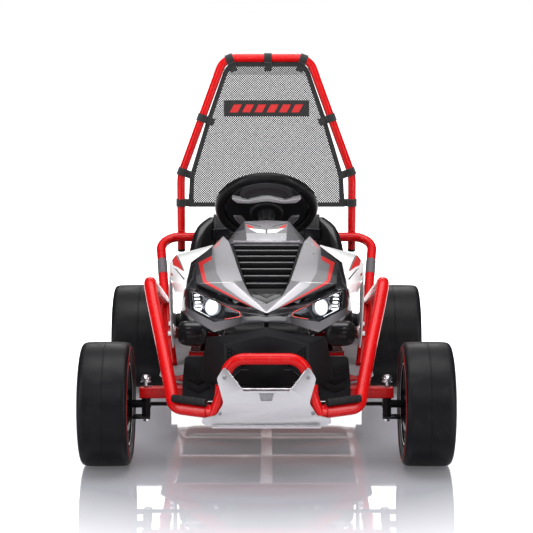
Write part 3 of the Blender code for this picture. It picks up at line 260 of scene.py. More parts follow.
def tube(route, radius, resolution=10):
    obj = made(bpy.ops.curve.primitive_bezier_curve_add, location=(0, 0, 0))
    obj.data.splines.clear()
    line = obj.data.splines.new("POLY")
    line.points.add(len(route) - 1)
    for point, place in zip(line.points, route):
        point.co = (*place, 1)
    obj.data.dimensions = "3D"
    obj.data.bevel_depth = radius
    obj.data.bevel_resolution = resolution
    obj.data.use_fill_caps = True
    use(obj)
    bpy.ops.object.convert(target="MESH")
    return recalculate(bpy.context.object)


def turned(profile, centre, axis, steps=64):
    # a profile of (along, radius) points, extruded point by point and spun about the axis
    axis = Vector(axis).normalized()
    out = Vector((0, 0, 1)) if abs(axis.z) < 0.9 else Vector((1, 0, 0))
    out = (out - axis * out.dot(axis)).normalized()
    points = [Vector(centre) + axis * along + out * radius for along, radius in profile]
    obj = settle(made(bpy.ops.mesh.primitive_plane_add, size=0.001, location=points[0]))
    bpy.ops.object.mode_set(mode="EDIT")
    bpy.ops.mesh.select_mode(type="VERT")
    bpy.ops.mesh.select_all(action="SELECT")
    bpy.ops.mesh.merge(type="CENTER")
    for here, there in zip(points, points[1:]):
        bpy.ops.mesh.extrude_region_move(TRANSFORM_OT_translate={"value": there - here})
    bpy.ops.mesh.select_all(action="SELECT")
    bpy.ops.mesh.spin(steps=steps, angle=2 * math.pi, center=Vector(centre), axis=axis)
    bpy.ops.mesh.select_all(action="SELECT")
    bpy.ops.mesh.remove_doubles(threshold=2e-6)
    bpy.ops.mesh.normals_make_consistent(inside=False)
    done()
    return obj


def block(centre, size, turn=None, edge=0.0, segments=2):
    obj = made(bpy.ops.mesh.primitive_cube_add, size=1, location=(0, 0, 0))
    obj.scale = size
    settle(obj)
    if edge:
        modify(obj, "BEVEL", width=edge, segments=segments, limit_method="ANGLE")
    if turn is not None:
        obj.matrix_world = turn.to_4x4()
        settle(obj)
    obj.location = centre
    return settle(obj)


def rod(start, end, radius, sides, edge):
    start, end = Vector(start), Vector(end)
    obj = settle(made(
        bpy.ops.mesh.primitive_cone_add, vertices=sides, radius1=radius, radius2=radius,
        depth=(end - start).length, location=(start + end) / 2,
        rotation=(end - start).to_track_quat("Z", "Y").to_euler()))
    return softEdges(obj, edge, 2, 50)


def copyOf(node):  # a merged copy of a solid's mesh, free of its body
    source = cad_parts[node]
    obj = source.copy()
    obj.data = source.data.copy()
    scene.collection.objects.link(obj)
    obj.parent = None
    obj.matrix_world = Matrix.Identity(4)
    for key in list(obj.keys()):
        del obj[key]
    obj.hide_render = obj.hide_viewport = False
    use(obj)
    if obj.data.has_custom_normals:
        bpy.ops.mesh.customdata_custom_splitnormals_clear()
    editAll(obj)
    bpy.ops.mesh.remove_doubles(threshold=2e-5)
    bpy.ops.mesh.dissolve_limited(angle_limit=math.radians(1.0))
    done()
    return obj


# finishes
class Finish:
    # one material and short ways to add its nodes
    def __init__(self, name, color, roughness, metallic=0.0, **values):
        self.material = bpy.data.materials.new(name)
        self.material.use_nodes = True
        self.nodes = self.material.node_tree.nodes
        self.links = self.material.node_tree.links
        self.shader = self.nodes["Principled BSDF"]
        self.color = (*color, 1.0)
        self.shader.inputs["Base Color"].default_value = self.color
        self.shader.inputs["Roughness"].default_value = roughness
        self.shader.inputs["Metallic"].default_value = metallic
        for key, value in values.items():
            self.shader.inputs[key].default_value = value
        self.coords = self.nodes.new("ShaderNodeTexCoord")
        self.last = None

    def add(self, kind, inputs=(), **settings):
        node = self.nodes.new(kind)
        for key, value in settings.items():
            setattr(node, key, value)
        for key, value in dict(inputs).items():
            if hasattr(value, "is_output"):
                self.links.new(value, node.inputs[key])
            else:
                node.inputs[key].default_value = value
        return node

    def place(self, scale=(1, 1, 1), turn=(0, 0, 0), shift=(0, 0, 0)):
        return self.add("ShaderNodeMapping", {"Vector": self.coords.outputs["Object"], "Scale": scale,
                                              "Rotation": turn, "Location": shift}).outputs["Vector"]

    def noise(self, scale, detail=3.0, vector=None, rough=0.5):
        return self.add("ShaderNodeTexNoise", {
            "Vector": vector or self.coords.outputs["Object"], "Scale": scale, "Detail": detail,
            "Roughness": rough}).outputs["Fac"]

    def spread(self, value, low, high, outLow=0.0, outHigh=1.0):
        return self.add("ShaderNodeMapRange", {
            "Value": value, "From Min": low, "From Max": high, "To Min": outLow,
            "To Max": outHigh}).outputs["Result"]

    def math(self, operation, first, second=0.5):
        return self.add("ShaderNodeMath", {0: first, 1: second}, operation=operation).outputs[0]

    def blend(self, share, first, second):
        node = self.add("ShaderNodeMix", data_type="RGBA")
        for socket, value in ((node.inputs[0], share), (node.inputs[6], first), (node.inputs[7], second)):
            if hasattr(value, "is_output"):
                self.links.new(value, socket)
            else:
                socket.default_value = value if not hasattr(value, "__len__") else (*value[:3], 1.0)
        return node.outputs[2]

    def paint(self, value):
        self.links.new(value, self.shader.inputs["Base Color"])

    def gloss(self, value):
        self.links.new(value, self.shader.inputs["Roughness"])

    def bumps(self, height, strength, distance=0.001):
        node = self.add("ShaderNodeBump", {"Height": height, "Strength": strength, "Distance": distance})
        if self.last:
            self.links.new(self.last, node.inputs["Normal"])
        self.links.new(node.outputs["Normal"], self.shader.inputs["Normal"])
        self.last = node.outputs["Normal"]

    def lacquer(self, color, smooth, rough, waves):  # the surface that the painted panels share
        self.paint(color)
        self.gloss(self.spread(self.noise(25, 5), 0.3, 0.7, smooth, rough))
        self.bumps(self.noise(500, 2), waves, 0.0003)
        return self.material


def shadeOf(color, factor):
    return tuple(c * factor for c in color[:3])


def powderCoat(name, color, roughness=0.3):  # sprayed steel: slight waves, a tone that varies at random
    f = Finish(name, color, roughness, 0.0, **{"Coat Weight": 0.16, "Coat Roughness": 0.07,
                                               "Specular IOR Level": 0.22})
    tone = f.spread(f.noise(9, 4), 0.3, 0.7)
    f.paint(f.blend(tone, shadeOf(color, 0.9), shadeOf(color, 1.06)))
    f.gloss(f.spread(f.noise(55, 5), 0.3, 0.75, roughness * 0.92, roughness * 1.12))
    f.bumps(f.noise(420, 2), 0.02, 0.0004)
    return f.material


def moulded(name, color, roughness, grain=700, depth=0.18, coat=0.0, metallic=0.0):
    # moulded plastic: fine grain, faint cloudiness, a few hairline scuffs
    f = Finish(name, color, roughness, metallic, **{"Coat Weight": coat, "Coat Roughness": 0.06,
                                                    "Specular IOR Level": 0.24})
    tone = f.spread(f.noise(6, 5), 0.35, 0.7)
    scuff = f.spread(f.noise(60, 8, f.place((1, 1, 9))), 0.68, 0.74)
    base = f.blend(tone, shadeOf(color, 0.93), shadeOf(color, 1.06))
    f.paint(f.blend(f.math("MULTIPLY", scuff, 0.06), base,
                    tuple(min(1.0, c * 1.6 + 0.03) for c in color)))
    f.gloss(f.math("ADD", f.spread(f.noise(30, 6), 0.3, 0.75, roughness * 0.9, roughness * 1.12),
                   f.math("MULTIPLY", scuff, 0.12)))
    f.bumps(f.noise(grain, 3), depth, 0.0004)
    return f.material


def metalSheet(name, color, roughness, stretch, depth):
    # brushed steel: long fine lines along X, clouded gloss
    f = Finish(name, color, roughness, 1.0, **{"Anisotropic": 0.35})
    lines = f.noise(90, 6, f.place(stretch), 0.6)
    f.paint(f.blend(f.spread(lines, 0.3, 0.7), shadeOf(color, 0.93), shadeOf(color, 1.05)))
    f.gloss(f.math("ADD", f.spread(f.noise(8, 3), 0.3, 0.7, -0.015, 0.02),
                   f.spread(lines, 0.3, 0.7, roughness * 0.9, roughness * 1.12)))
    f.bumps(lines, depth, 0.0004)
    return f.material


def zincPlate(name, color, roughness):
    f = Finish(name, color, roughness, 1.0)
    f.paint(f.blend(f.spread(f.noise(140, 4), 0.3, 0.7), shadeOf(color, 0.82), shadeOf(color, 1.08)))
    f.gloss(f.spread(f.noise(260, 4), 0.3, 0.7, roughness * 0.7, roughness * 1.4))
    f.bumps(f.noise(900, 2), 0.01, 0.0003)
    return f.material


def rubber(name, color, roughness, dusty=0.25):
    f = Finish(name, color, roughness, 0.0, **{"Specular IOR Level": 0.2})
    dust = f.spread(f.noise(24, 9, None, 0.65), 0.52, 0.78)
    f.paint(f.blend(f.math("MULTIPLY", dust, dusty), color, (0.14, 0.135, 0.13)))
    f.gloss(f.math("ADD", f.spread(f.noise(16, 6), 0.3, 0.7, roughness * 0.85, roughness * 1.12),
                   f.math("MULTIPLY", dust, 0.18)))
    f.bumps(f.noise(1100, 3), 0.16, 0.0004)
    return f.material


def woven(name, color, roughness, pitch=0.0016, depth=0.6):
    # plain weave read from object space, two crossed waves
    f = Finish(name, color, roughness, 0.0, **{"Sheen Weight": 0.35, "Sheen Roughness": 0.5})
    scale = math.pi / pitch / 10
    warp = f.add("ShaderNodeTexWave", {"Vector": f.place((1, 0.3, 0.0)), "Scale": scale,
                                       "Distortion": 0.4}, bands_direction="X").outputs["Fac"]
    weft = f.add("ShaderNodeTexWave", {"Vector": f.place((0, 0.3, 1.0)), "Scale": scale,
                                       "Distortion": 0.4}, bands_direction="Z").outputs["Fac"]
    thread = f.math("MAXIMUM", warp, weft)
    fuzz = f.noise(900, 4)
    f.paint(f.blend(f.math("MULTIPLY", thread, fuzz), shadeOf(color, 0.55), shadeOf(color, 1.45)))
    f.bumps(thread, depth, 0.0005)
    return f.material


redPaint = powderCoat("redPaint", (0.5, 0.0045, 0.006), 0.26)
blackPaint = powderCoat("blackPaint", (0.007, 0.007, 0.0085), 0.34)
brushedPlate = metalSheet("brushedPlate", (0.52, 0.51, 0.53), 0.36, (1, 14, 14), 0.01)
floorSteel = powderCoat("floorSteel", (0.26, 0.245, 0.26), 0.42)
zinc = zincPlate("zinc", (0.6, 0.59, 0.61), 0.3)
silverPlastic = moulded("silverPlastic", (0.27, 0.26, 0.28), 0.28, 500, 0.06, 0.6, 0.35)
whitePlastic = moulded("whitePlastic", (0.88, 0.885, 0.89), 0.22, 500, 0.01, 0.5)
glossBlack = moulded("glossBlack", (0.006, 0.006, 0.0075), 0.16, 420, 0.01, 0.4)
grainBlack = moulded("grainBlack", (0.0075, 0.0075, 0.009), 0.42, 900, 0.15)
tyreRubber = rubber("tyreRubber", (0.0062, 0.006, 0.0075), 0.42, 0.1)
gripRubber = rubber("gripRubber", (0.014, 0.0135, 0.015), 0.5, 0.08)
belt = woven("belt", (0.014, 0.014, 0.016), 0.75)
netThread = moulded("netThread", (0.016, 0.016, 0.018), 0.6, 500, 0.01, 0.2)
netTape = woven("netTape", (0.012, 0.012, 0.0135), 0.7)
print("finishes made")

# solids that stay as they are, with their finish
nodeFinish = {"rear_axle": zinc, "steering_column": blackPaint, "track_rod": blackPaint,
              "nose_frame": blackPaint}
for node, finish in nodeFinish.items():
    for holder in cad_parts[node].material_slots:
        holder.material = finish
print("solids finished")

# floor
floorSet = {"size": 60.0, "below": 0.0004, "color": (0.34, 0.34, 0.38), "roughness": 0.03,
            "fade": (0.72, 1.5), "glow": (0.13, 1.3)}
floor = made(bpy.ops.mesh.primitive_plane_add, size=floorSet["size"], location=(0, 0, -floorSet["below"]))
floor.name = "floor"
settle(floor)
floorFinish = Finish("paleFloor", floorSet["color"], floorSet["roughness"], 0.0, **{"IOR": 2.6})
floorFinish.gloss(floorFinish.spread(floorFinish.noise(2.5, 4), 0.3, 0.7, 0.022, 0.034))
# the floor fades into the white backdrop away from the kart
away = floorFinish.add("ShaderNodeVectorMath", {0: floorFinish.coords.outputs["Object"]},
                       operation="LENGTH").outputs["Value"]
floorFinish.shader.inputs["Emission Color"].default_value = (1, 1, 1, 1)
floorFinish.links.new(floorFinish.spread(away, *floorSet["fade"], *floorSet["glow"]),
                      floorFinish.shader.inputs["Emission Strength"])
floor.data.materials.append(floorFinish.material)
# a bright paper behind the kart, mirrored by the floor alone
paperSet = {"place": (0.0, 4.2, 1.6), "width": 14.0, "height": 3.2, "watts": 300}
paper = made(bpy.ops.object.light_add, type="AREA", location=paperSet["place"],
             rotation=(math.radians(-90), 0, 0))
paper.name = "paperBehind"
paper.data.shape = "RECTANGLE"
paper.data.size, paper.data.size_y = paperSet["width"], paperSet["height"]
paper.data.energy = paperSet["watts"]
paper.visible_camera = False
mirrorOnly = bpy.data.collections.new("floorOnly")
mirrorOnly.objects.link(floor)
paper.light_linking.receiver_collection = mirrorOnly

# tyres: smooth slicks with a moulding line and raised rings on the wall
tyreSet = {"radius": 0.145, "bead": 0.095, "track": 0.86, "steps": 112}
wheelSet = [  # place, side, along, width, hub end towards the kart
    ("front_left", 1, -0.43, 0.115, -0.045), ("front_right", -1, -0.43, 0.115, -0.045),
    ("rear_left", 1, 0.43, 0.15, -0.066), ("rear_right", -1, 0.43, 0.15, -0.066),
]


def shifted(points, along, out=0.0):  # profile points measured from another place
    return [(along + a, out + r) for a, r in points]


def wheelMiddle(side, along, width):
    return spot(side * (tyreSet["track"] - width) / 2, along, tyreSet["radius"])


def tyreShape(side, along, width):
    r, half, bead = tyreSet["radius"], width / 2, tyreSet["bead"]
    profile = [(0.0, r - 0.0007), (0.0009, r - 0.0007), (0.0017, r), (half * 0.45, r - 0.0003)]
    profile += shifted([  # over the shoulder and down the wall to the bead
        (-0.0155, -0.0009), (-0.0085, -0.0022), (-0.0042, -0.0048), (-0.0014, -0.0092), (-0.0003, -0.014),
        (-0.0012, -0.0205), (-0.0012, -0.0215), (-0.0002, -0.0222), (-0.0002, -0.0232), (-0.0014, -0.024),
        (-0.0022, -0.033), (-0.005, -0.041), (-0.005, -0.0425), (-0.0036, -0.0435), (-0.0036, -0.0455),
        (-0.0065, -0.047)], half, r)
    profile += [(half - 0.01, bead), (half - 0.015, bead), (half - 0.018, r - 0.044), (0.0, r - 0.033)]
    whole = profile + [(-a, radius) for a, radius in reversed(profile[:-1])]
    return turned(whole, wheelMiddle(side, along, width), (side, 0, 0), tyreSet["steps"])


for place, side, along, width, hub in wheelSet:
    fit(tyreShape(side, along, width), "tyre." + place, tyreRubber, ["tyre_" + place], 28,
        "wheel_" + place)
print("tyres turned")

# welded tubes, smoother than the solids
tubeSet = {
    "rollCage": {"radius": 0.011, "bends": [0.1, 0.046, 0.046, 0.1], "half": [
        (0.2375, 0.3845, 0.396), (0.2375, 0.3845, 0.606), (0.118, 0.41, 0.929)]},
    "seatHoop": {"radius": 0.013, "bends": [0.3, 0.05, 0.05, 0.3], "half": [
        (0.242, -0.03, 0.1538), (0.271, 0.15, 0.3), (0.295, 0.36, 0.437)]},
    "bumperHoop": {"radius": 0.013, "bends": [0.12, 0.12, 0.042, 0.042, 0.12, 0.12], "half": [
        (0.1245, -0.61, 0.143), (0.1135, -0.61, 0.17), (0.0935, -0.61, 0.23),
        (0.084, -0.61, 0.288)]},
}


for name, node in (("rollCage", "roll_cage"), ("seatHoop", "seat_hoop"), ("bumperHoop", "bumper_hoop")):
    entry = tubeSet[name]
    route = roundedRoute(bothSides(spots(entry["half"])), entry["bends"])
    fit(tube(route, entry["radius"]), name, redPaint, [node], 40)
print("tubes bent")

# rims: barrel with rolled lips, six crowned spokes, hub, cap and nuts
rimSet = {"seat": 0.0942, "discBack": 0.026, "spokes": 6, "nuts": 6, "nutCircle": 0.0225,
          "steps": 96, "ringInner": 0.1165, "ringOuter": 0.1215}


def ringTurns(count, centre, phase=0.0):  # turns that spread copies evenly round a wheel
    for k in range(count):
        turn = Matrix.Rotation(2 * math.pi * (k + phase) / count, 4, "X")
        yield Matrix.Translation(centre) @ turn @ Matrix.Translation(-Vector(centre))


def copied(obj, matrix):  # a copy with its own mesh, turned in place
    twin = obj.copy()
    twin.data = obj.data.copy()
    scene.collection.objects.link(twin)
    twin.matrix_world = matrix @ obj.matrix_world
    return settle(twin)


def spoke(centre, side, disc):
    # a tapered, pocketed arm from the hub out to the barrel
    obj = block((0, 0, 0), (0.013, 0.03, 0.062))
    squeeze(obj, lambda c, n: n.z > 0.9, (0.75, 1.25, 1))
    squeeze(obj, lambda c, n: n.z < -0.9, (1.15, 0.85, 1))
    pocket(obj, lambda c, n: n.x > 0.8, 0.0042, (-0.0042, 0, 0), (1, 0.86, 0.95))
    softEdges(obj, 0.0011, 2, 25)
    if side < 0:
        obj.matrix_world = Matrix.Rotation(math.pi, 4, "Z")
        settle(obj)
    obj.location = Vector(centre) + Vector((side * (disc + 0.0005), 0, 0.0535))
    return settle(obj)


def rimShape(side, along, width, hub):
    half, seat, ringIn, ringOut = width / 2, rimSet["seat"], rimSet["ringInner"], rimSet["ringOuter"]
    disc = half - rimSet["discBack"]
    centre, axis = wheelMiddle(side, along, width), Vector((side, 0, 0))
    barrel = shifted([  # closed section, from the inner lip outwards and back along the well
        (0.0062, seat), (0.005, 0.096), (0.0062, 0.0972), (0.008, 0.096), (0.0105, seat), (0.02, seat),
        (0.026, 0.0915)], -half)
    barrel += shifted([
        (-0.026, 0.0915), (-0.02, seat), (-0.0085, seat), (-0.0062, 0.096), (-0.0046, 0.0972),
        (-0.003, 0.0962), (-0.0034, 0.0935), (-0.012, 0.088)], half)
    barrel += shifted([(0.003, 0.0835), (-0.008, 0.0832)], disc)
    barrel += shifted([(0.022, 0.0865), (0.009, 0.0905), (0.0062, seat)], -half)
    hubLine = [(hub, 0.0072), (hub, 0.0175), (hub + 0.0015, 0.019)] + shifted([  # collar towards the kart
        (-0.016, 0.0215), (-0.01, 0.03), (0.002, 0.031), (0.0065, 0.029), (0.0085, 0.0255),
        (0.0085, 0.013), (0.006, 0.012), (0.006, 0.0072)], disc) + [(hub, 0.0072)]
    first = spoke(centre, side, disc)
    spokes = [first] + [copied(first, m) for m in list(ringTurns(rimSet["spokes"], centre))[1:]]
    rim = [turned(barrel, centre, axis, rimSet["steps"]), *spokes, turned(hubLine, centre, axis, 64)]
    cap = turned(shifted([(0.0062, 0.0), (0.0062, 0.0118), (0.014, 0.0118), (0.0158, 0.0105),
                          (0.0166, 0.007), (0.016, 0.006), (0.016, 0.0)], disc), centre, axis, 48)
    back, front = (Vector(centre) + axis * (disc + reach) + Vector((0, 0, rimSet["nutCircle"]))
                   for reach in (0.008, 0.0122))
    nut = rod(back, front, 0.0032, 6, 0.0005)
    nuts = [nut] + [copied(nut, m) for m in list(ringTurns(rimSet["nuts"], centre, 0.5))]
    rings = [turned(line, centre, axis, tyreSet["steps"]) for line in (
        shifted([  # the red ring stands a little proud of the outer tyre wall
            (-0.0022, ringIn), (-0.001, ringIn), (-0.0002, ringIn + 0.0008), (0.0006, ringOut - 0.001),
            (0.0002, ringOut), (-0.0014, ringOut + 0.0003), (-0.0022, ringIn)], half),
        shifted([(0.0012, 0.1312), (0.0003, 0.1314), (-0.0001, 0.1322), (0.0003, 0.133),
                 (0.0012, 0.1332), (0.0012, 0.1312)], -half))]
    lip = turned(shifted([  # bright edge round the inner lip
        (0.0058, 0.0905), (0.0048, 0.0908), (0.0042, 0.0925), (0.0048, 0.0942), (0.006, 0.0944),
        (0.0058, 0.0905)], -half), centre, axis, rimSet["steps"])
    return rim, cap, nuts, rings, lip


rimGloss = moulded("rimGloss", (0.006, 0.006, 0.0075), 0.2, 300, 0.01, 0.6)
dullSteel = zincPlate("dullSteel", (0.3, 0.295, 0.31), 0.35)
ringRed = moulded("ringRed", (0.42, 0.008, 0.01), 0.35, 600, 0.1)
rimPieces = [("rim.", rimGloss, "rim_plastic"), ("hubCap.", silverPlastic, "silver_plastic"),
             ("wheelNuts.", zinc, "bare_steel"), ("tyreRings.", ringRed, "red_steel"),
             ("rimEdge.", dullSteel, "bare_steel")]
for place, *measures in wheelSet:
    for shape, (name, finish, slot) in zip(rimShape(*measures), rimPieces):
        stoodFor = ["rim_" + place] if name == "rim." else ()
        fit(shape, name + place, finish, stoodFor, body="wheel_" + place)
print("rims, caps and nuts made")

# side guards with their weld beads
guardSet = {"radius": 0.015, "bends": [0.032, 0.3, 0.3, 0.034], "route": [
    (0.119, -0.6065, 0.166), (0.208, -0.565, 0.168), (0.238, -0.46, 0.278),
    (0.267, -0.365, 0.377), (0.277, -0.327, 0.4165), (0.272, 0.14, 0.293)]}
weldSet = {"ripples": 34, "height": 0.0019, "wave": 0.16}


def weld(centre, axis, radius, stretch=1.0):
    # a rippled bead round a joint, longer on one side where the tubes meet at a slant
    axis = Vector(axis).normalized()
    obj = made(bpy.ops.mesh.primitive_torus_add, major_segments=4 * weldSet["ripples"], minor_segments=8,
               major_radius=radius, minor_radius=weldSet["height"])
    for vert in obj.data.vertices:
        angle = math.atan2(vert.co.y, vert.co.x)
        ring = Vector((math.cos(angle), math.sin(angle), 0)) * radius
        swell = 1 + weldSet["wave"] * math.cos(weldSet["ripples"] * angle)
        vert.co = ring + (vert.co - ring) * swell
        vert.co.y *= stretch
    obj.matrix_world = Matrix.Translation(centre) @ axis.to_track_quat("Z", "Y").to_matrix().to_4x4()
    return settle(obj)


for end, side in ends:
    route = spots(guardSet["route"], side)
    fit(tube(roundedRoute(route, guardSet["bends"]), guardSet["radius"]), "guardBar." + end, redPaint,
        ["guard_bar_" + end], 40)
    beads = [weld(here + (there - here).normalized() * reach, there - here, 0.0152)
             for here, there, reach in ((route[0], route[1], 0.0125), (route[-1], route[-2], 0.0105))]
    fit(beads, "guardWelds." + end, redPaint, angle=60)
print("guards and welds made")

# cage feet: the hoop's ends are capped and welded behind the rear bar
footSet = {"across": 0.2375, "along": 0.3845, "weldHeight": 0.437, "plugHeight": 0.3925}
cageWelds = []
for end, side in ends:
    seam = spot(side * footSet["across"], footSet["along"], footSet["weldHeight"])
    cageWelds.append(weld(seam + Vector((0, -0.0105, 0)), (0, 1, 0), 0.0105, 1.4))
    plugPlace = spot(side * footSet["across"], footSet["along"], footSet["plugHeight"])
    plug = turned([(0.0, 0.0), (0.0, 0.0085), (0.001, 0.01), (0.004, 0.0112), (0.0075, 0.0112),
                   (0.0075, 0.0)], plugPlace, (0, 0, 1), 32)
    fit(plug, "cagePlug." + end, grainBlack)
fit(cageWelds, "cageWelds", redPaint, angle=60)

# skid plate: softened copy, with bolts here and its rim and plain plate further on
skidSet = {"rim": [(-0.086, 0.265), (-0.0555, 0.2238), (0.0555, 0.2238), (0.086, 0.265)],
           "bolts": [(0.0925, 0.25), (0.1035, 0.169)], "front": -0.6273, "head": 0.0047,
           "badge": [(-0.0165, 0.2135), (0.0165, 0.2135), (0.0125, 0.1965), (-0.0125, 0.1965)]}
skid = softEdges(copyOf("skid_plate"), 0.0011, 3, 30)
fit(skid, "skidPlate", brushedPlate, ["skid_plate"])


def domeBolt(centre, axis, radius, height):  # a button head with a round socket
    return turned([(0, 0.0), (0, radius), (height * 0.35, radius), (height * 0.8, radius * 0.78),
                   (height, radius * 0.48), (height, radius * 0.42), (height * 0.5, radius * 0.38),
                   (height * 0.5, 0.0)], centre, axis, 24)


bolts = [domeBolt(spot(side * x, skidSet["front"] + 0.0004, z), (0, -1, 0), skidSet["head"], 0.0026)
         for x, z in skidSet["bolts"] for side in (1, -1)]
fit(bolts, "skidBolts", dullSteel)

# roll-hoop net: one cloth with real openings, taped round its edge, held by strap loops
netSet = {"pitch": 0.0045, "strand": 0.002, "thick": 0.001, "tape": 0.0125, "tapeThick": 0.0022,
          "bottom": 0.519, "along": 0.3794, "sag": 0.004, "sagHalf": 0.2, "sagHeight": 0.39,
          "grid": 0.6, "middle": (0.0, 0.71), "gridMiddle": 0.714,
          "half": [(0.217, 0.519), (0.2125, 0.606), (0.168, 0.753), (0.12, 0.891),
                   (0.105, 0.913), (0.088, 0.9195)]}
cageBend, cageTop = Vector((0.2375, 0.3845, 0.606)), Vector((0.118, 0.41, 0.929))
cageSlope = (cageTop - cageBend).normalized()
netLean = math.atan2(cageSlope.y, cageSlope.z)


def onNet(across, height, lift):  # a point of the net's plane, lift towards the front
    up = height - netSet["bottom"]
    return spot(across, netSet["along"] + up * math.sin(netLean) - lift * math.cos(netLean),
                netSet["bottom"] + up * math.cos(netLean) + lift * math.sin(netLean))


def layOnNet(obj):  # from a flat drawing in X and Y, height along Y, into the net's plane
    for vert in obj.data.vertices:
        x, y, z = vert.co
        rise = min(1.0, max(0.0, (y - netSet["bottom"]) / netSet["sagHeight"]))
        billow = netSet["sag"] * max(0.0, 1 - (x / netSet["sagHalf"]) ** 2) * max(
            0.0, math.sin(math.pi * rise))
        vert.co = onNet(x, y, z - billow)
    return recalculate(obj)


def polygon(corners):  # one flat face through the corners
    obj = made(bpy.ops.mesh.primitive_circle_add, vertices=len(corners), radius=1, fill_type="NGON")
    for vert, corner in zip(obj.data.vertices, corners):
        vert.co = corner
    return obj


def drawn(outline):  # a flat face in X and Y from its corners
    return recalculate(polygon([(*corner, 0) for corner in outline]))


def divided(obj, levels):
    return modify(obj, "SUBSURF", levels=levels, render_levels=levels, subdivision_type="SIMPLE")


def sewn(corners, levels, lift, thickness):  # a flat print laid on the net
    obj = divided(drawn(corners), levels)
    for vert in obj.data.vertices:
        vert.co.z = lift
    return modify(layOnNet(obj), "SOLIDIFY", thickness=thickness, offset=0)


netOutline = wholeOutline(netSet["half"])
cells = round(netSet["grid"] / netSet["pitch"])
net = settle(made(bpy.ops.mesh.primitive_grid_add, x_subdivisions=cells, y_subdivisions=cells,
                  size=cells * netSet["pitch"], location=(0, netSet["gridMiddle"], 0),
                  rotation=(0, 0, math.radians(45))))
trimmed(net, netOutline, netSet["middle"])
fullCell = (netSet["pitch"] ** 2) * 0.35
use(net)
for item in (net.data.vertices, net.data.edges):
    for part in item:
        part.select = False
for face in net.data.polygons:
    face.select = face.area > fullCell
bpy.ops.object.mode_set(mode="EDIT")
bpy.ops.mesh.select_mode(type="FACE")
bpy.ops.mesh.inset(use_individual=True, thickness=netSet["strand"] / 2)
bpy.ops.mesh.delete(type="FACE")
done()
modify(layOnNet(net), "SOLIDIFY", thickness=netSet["thick"], offset=0)
fit(net, "rollNet", netThread, ["cage_net"], 0)

# binding tape round the net, a strip cut from its outline
binding = drawn(netOutline)
hollowed(binding, netSet["tape"])
modify(layOnNet(divided(binding, 3)), "SOLIDIFY", thickness=netSet["tapeThick"], offset=0)
fit(softEdges(binding, 0.0006, 2, 50), "netBinding", netTape, angle=40)

# strap loops round the tube, each with a tongue sewn to the tape
loopSet = {"radius": 0.0113, "wall": 0.0022, "width": 0.021, "tongue": 0.03, "rows": 4}
loopSpots = [(Vector((0.2375, 0.3845, 0.53)), Vector((0, 0, 1)))]
loopSpots += [(cageBend.lerp(cageTop, share), cageSlope) for share in (0.03, 0.49)]
loopSpots += [(Vector((0.102, 0.4098, 0.9261)), Vector((-0.9375, 0.027, 0.348)))]
loopSpots += [(Vector((-p.x, p.y, p.z)), Vector((-d.x, d.y, d.z))) for p, d in loopSpots]
loopSpots += [(Vector((0.004, 0.41, 0.929)), Vector((1, 0, 0)))]
loops, stitches = [], []
for place, direction in loopSpots:
    place = spot(*place)
    half, inside, outside = loopSet["width"] / 2, loopSet["radius"], loopSet["radius"] + loopSet["wall"]
    loops.append(turned([(-half, inside), (-half, outside - 0.0006), (-half + 0.0006, outside),
                         (half - 0.0006, outside), (half, outside - 0.0006), (half, inside),
                         (-half, inside)], place, direction, 32))
    inward = Vector((0, 0, -1)) if abs(direction.x) > 0.9 else Vector((-place.x, 0, 0))
    inward = (inward - direction * inward.dot(direction)).normalized()
    turn = Matrix((direction, inward, direction.cross(inward))).transposed()
    loops.append(block(place + inward * 0.0215, (loopSet["width"] - 0.0006, loopSet["tongue"], 0.0048),
                       turn, 0.0014))
    for k in range(loopSet["rows"]):
        offset = (k / (loopSet["rows"] - 1) - 0.5) * 0.015
        for reach in (0.025, 0.0325):
            seam = place + direction * offset + inward * reach
            stitches.append(block(seam, (0.003, 0.0007, 0.0056), turn, 0.0002, 1))
netLoops = fit(loops, "netLoops", netTape, angle=40)
stitchThread = woven("stitchThread", (0.1, 0.1, 0.105), 0.6, 0.0008, 0.2)
netStitches = fit(stitches, "netStitches", stitchThread)

# patch on the net: a plain black field with slanted red bars
patchSet = {"half": 0.118, "low": 0.7695, "high": 0.8136, "bars": 6, "lean": 0.01, "pitch": 0.034,
            "margin": 0.011}
patch = sewn([(-patchSet["half"], patchSet["low"]), (patchSet["half"], patchSet["low"]),
              (patchSet["half"], patchSet["high"]), (-patchSet["half"], patchSet["high"])],
             4, 0.0016, 0.0008)
fit(patch, "netPatch", netTape, angle=30)
low, high = patchSet["low"] + patchSet["margin"], patchSet["high"] - patchSet["margin"]
bars = []
for k in range(patchSet["bars"]):
    x, lean = (k - (patchSet["bars"] - 1) / 2) * patchSet["pitch"], patchSet["lean"] / 2
    bars.append(sewn([(x - 0.012 - lean, low), (x + 0.01 - lean, low), (x + 0.012 + lean, high),
                      (x - 0.01 + lean, high)], 2, 0.0022, 0.0005))
printRed = woven("printRed", (0.55, 0.012, 0.012), 0.55, 0.0012, 0.25)
patchBars = fit(bars, "patchBars", printRed, angle=30)
print("net woven and bound")

# graphics helpers: flat masks drawn across (distance from the middle) and height
def flatPlace(f):
    parts = f.add("ShaderNodeSeparateXYZ", {0: f.coords.outputs["Object"]})
    across = f.math("ABSOLUTE", parts.outputs["X"])
    return f.add("ShaderNodeCombineXYZ", {0: across, 1: parts.outputs["Z"], 2: 0.0}).outputs[0]


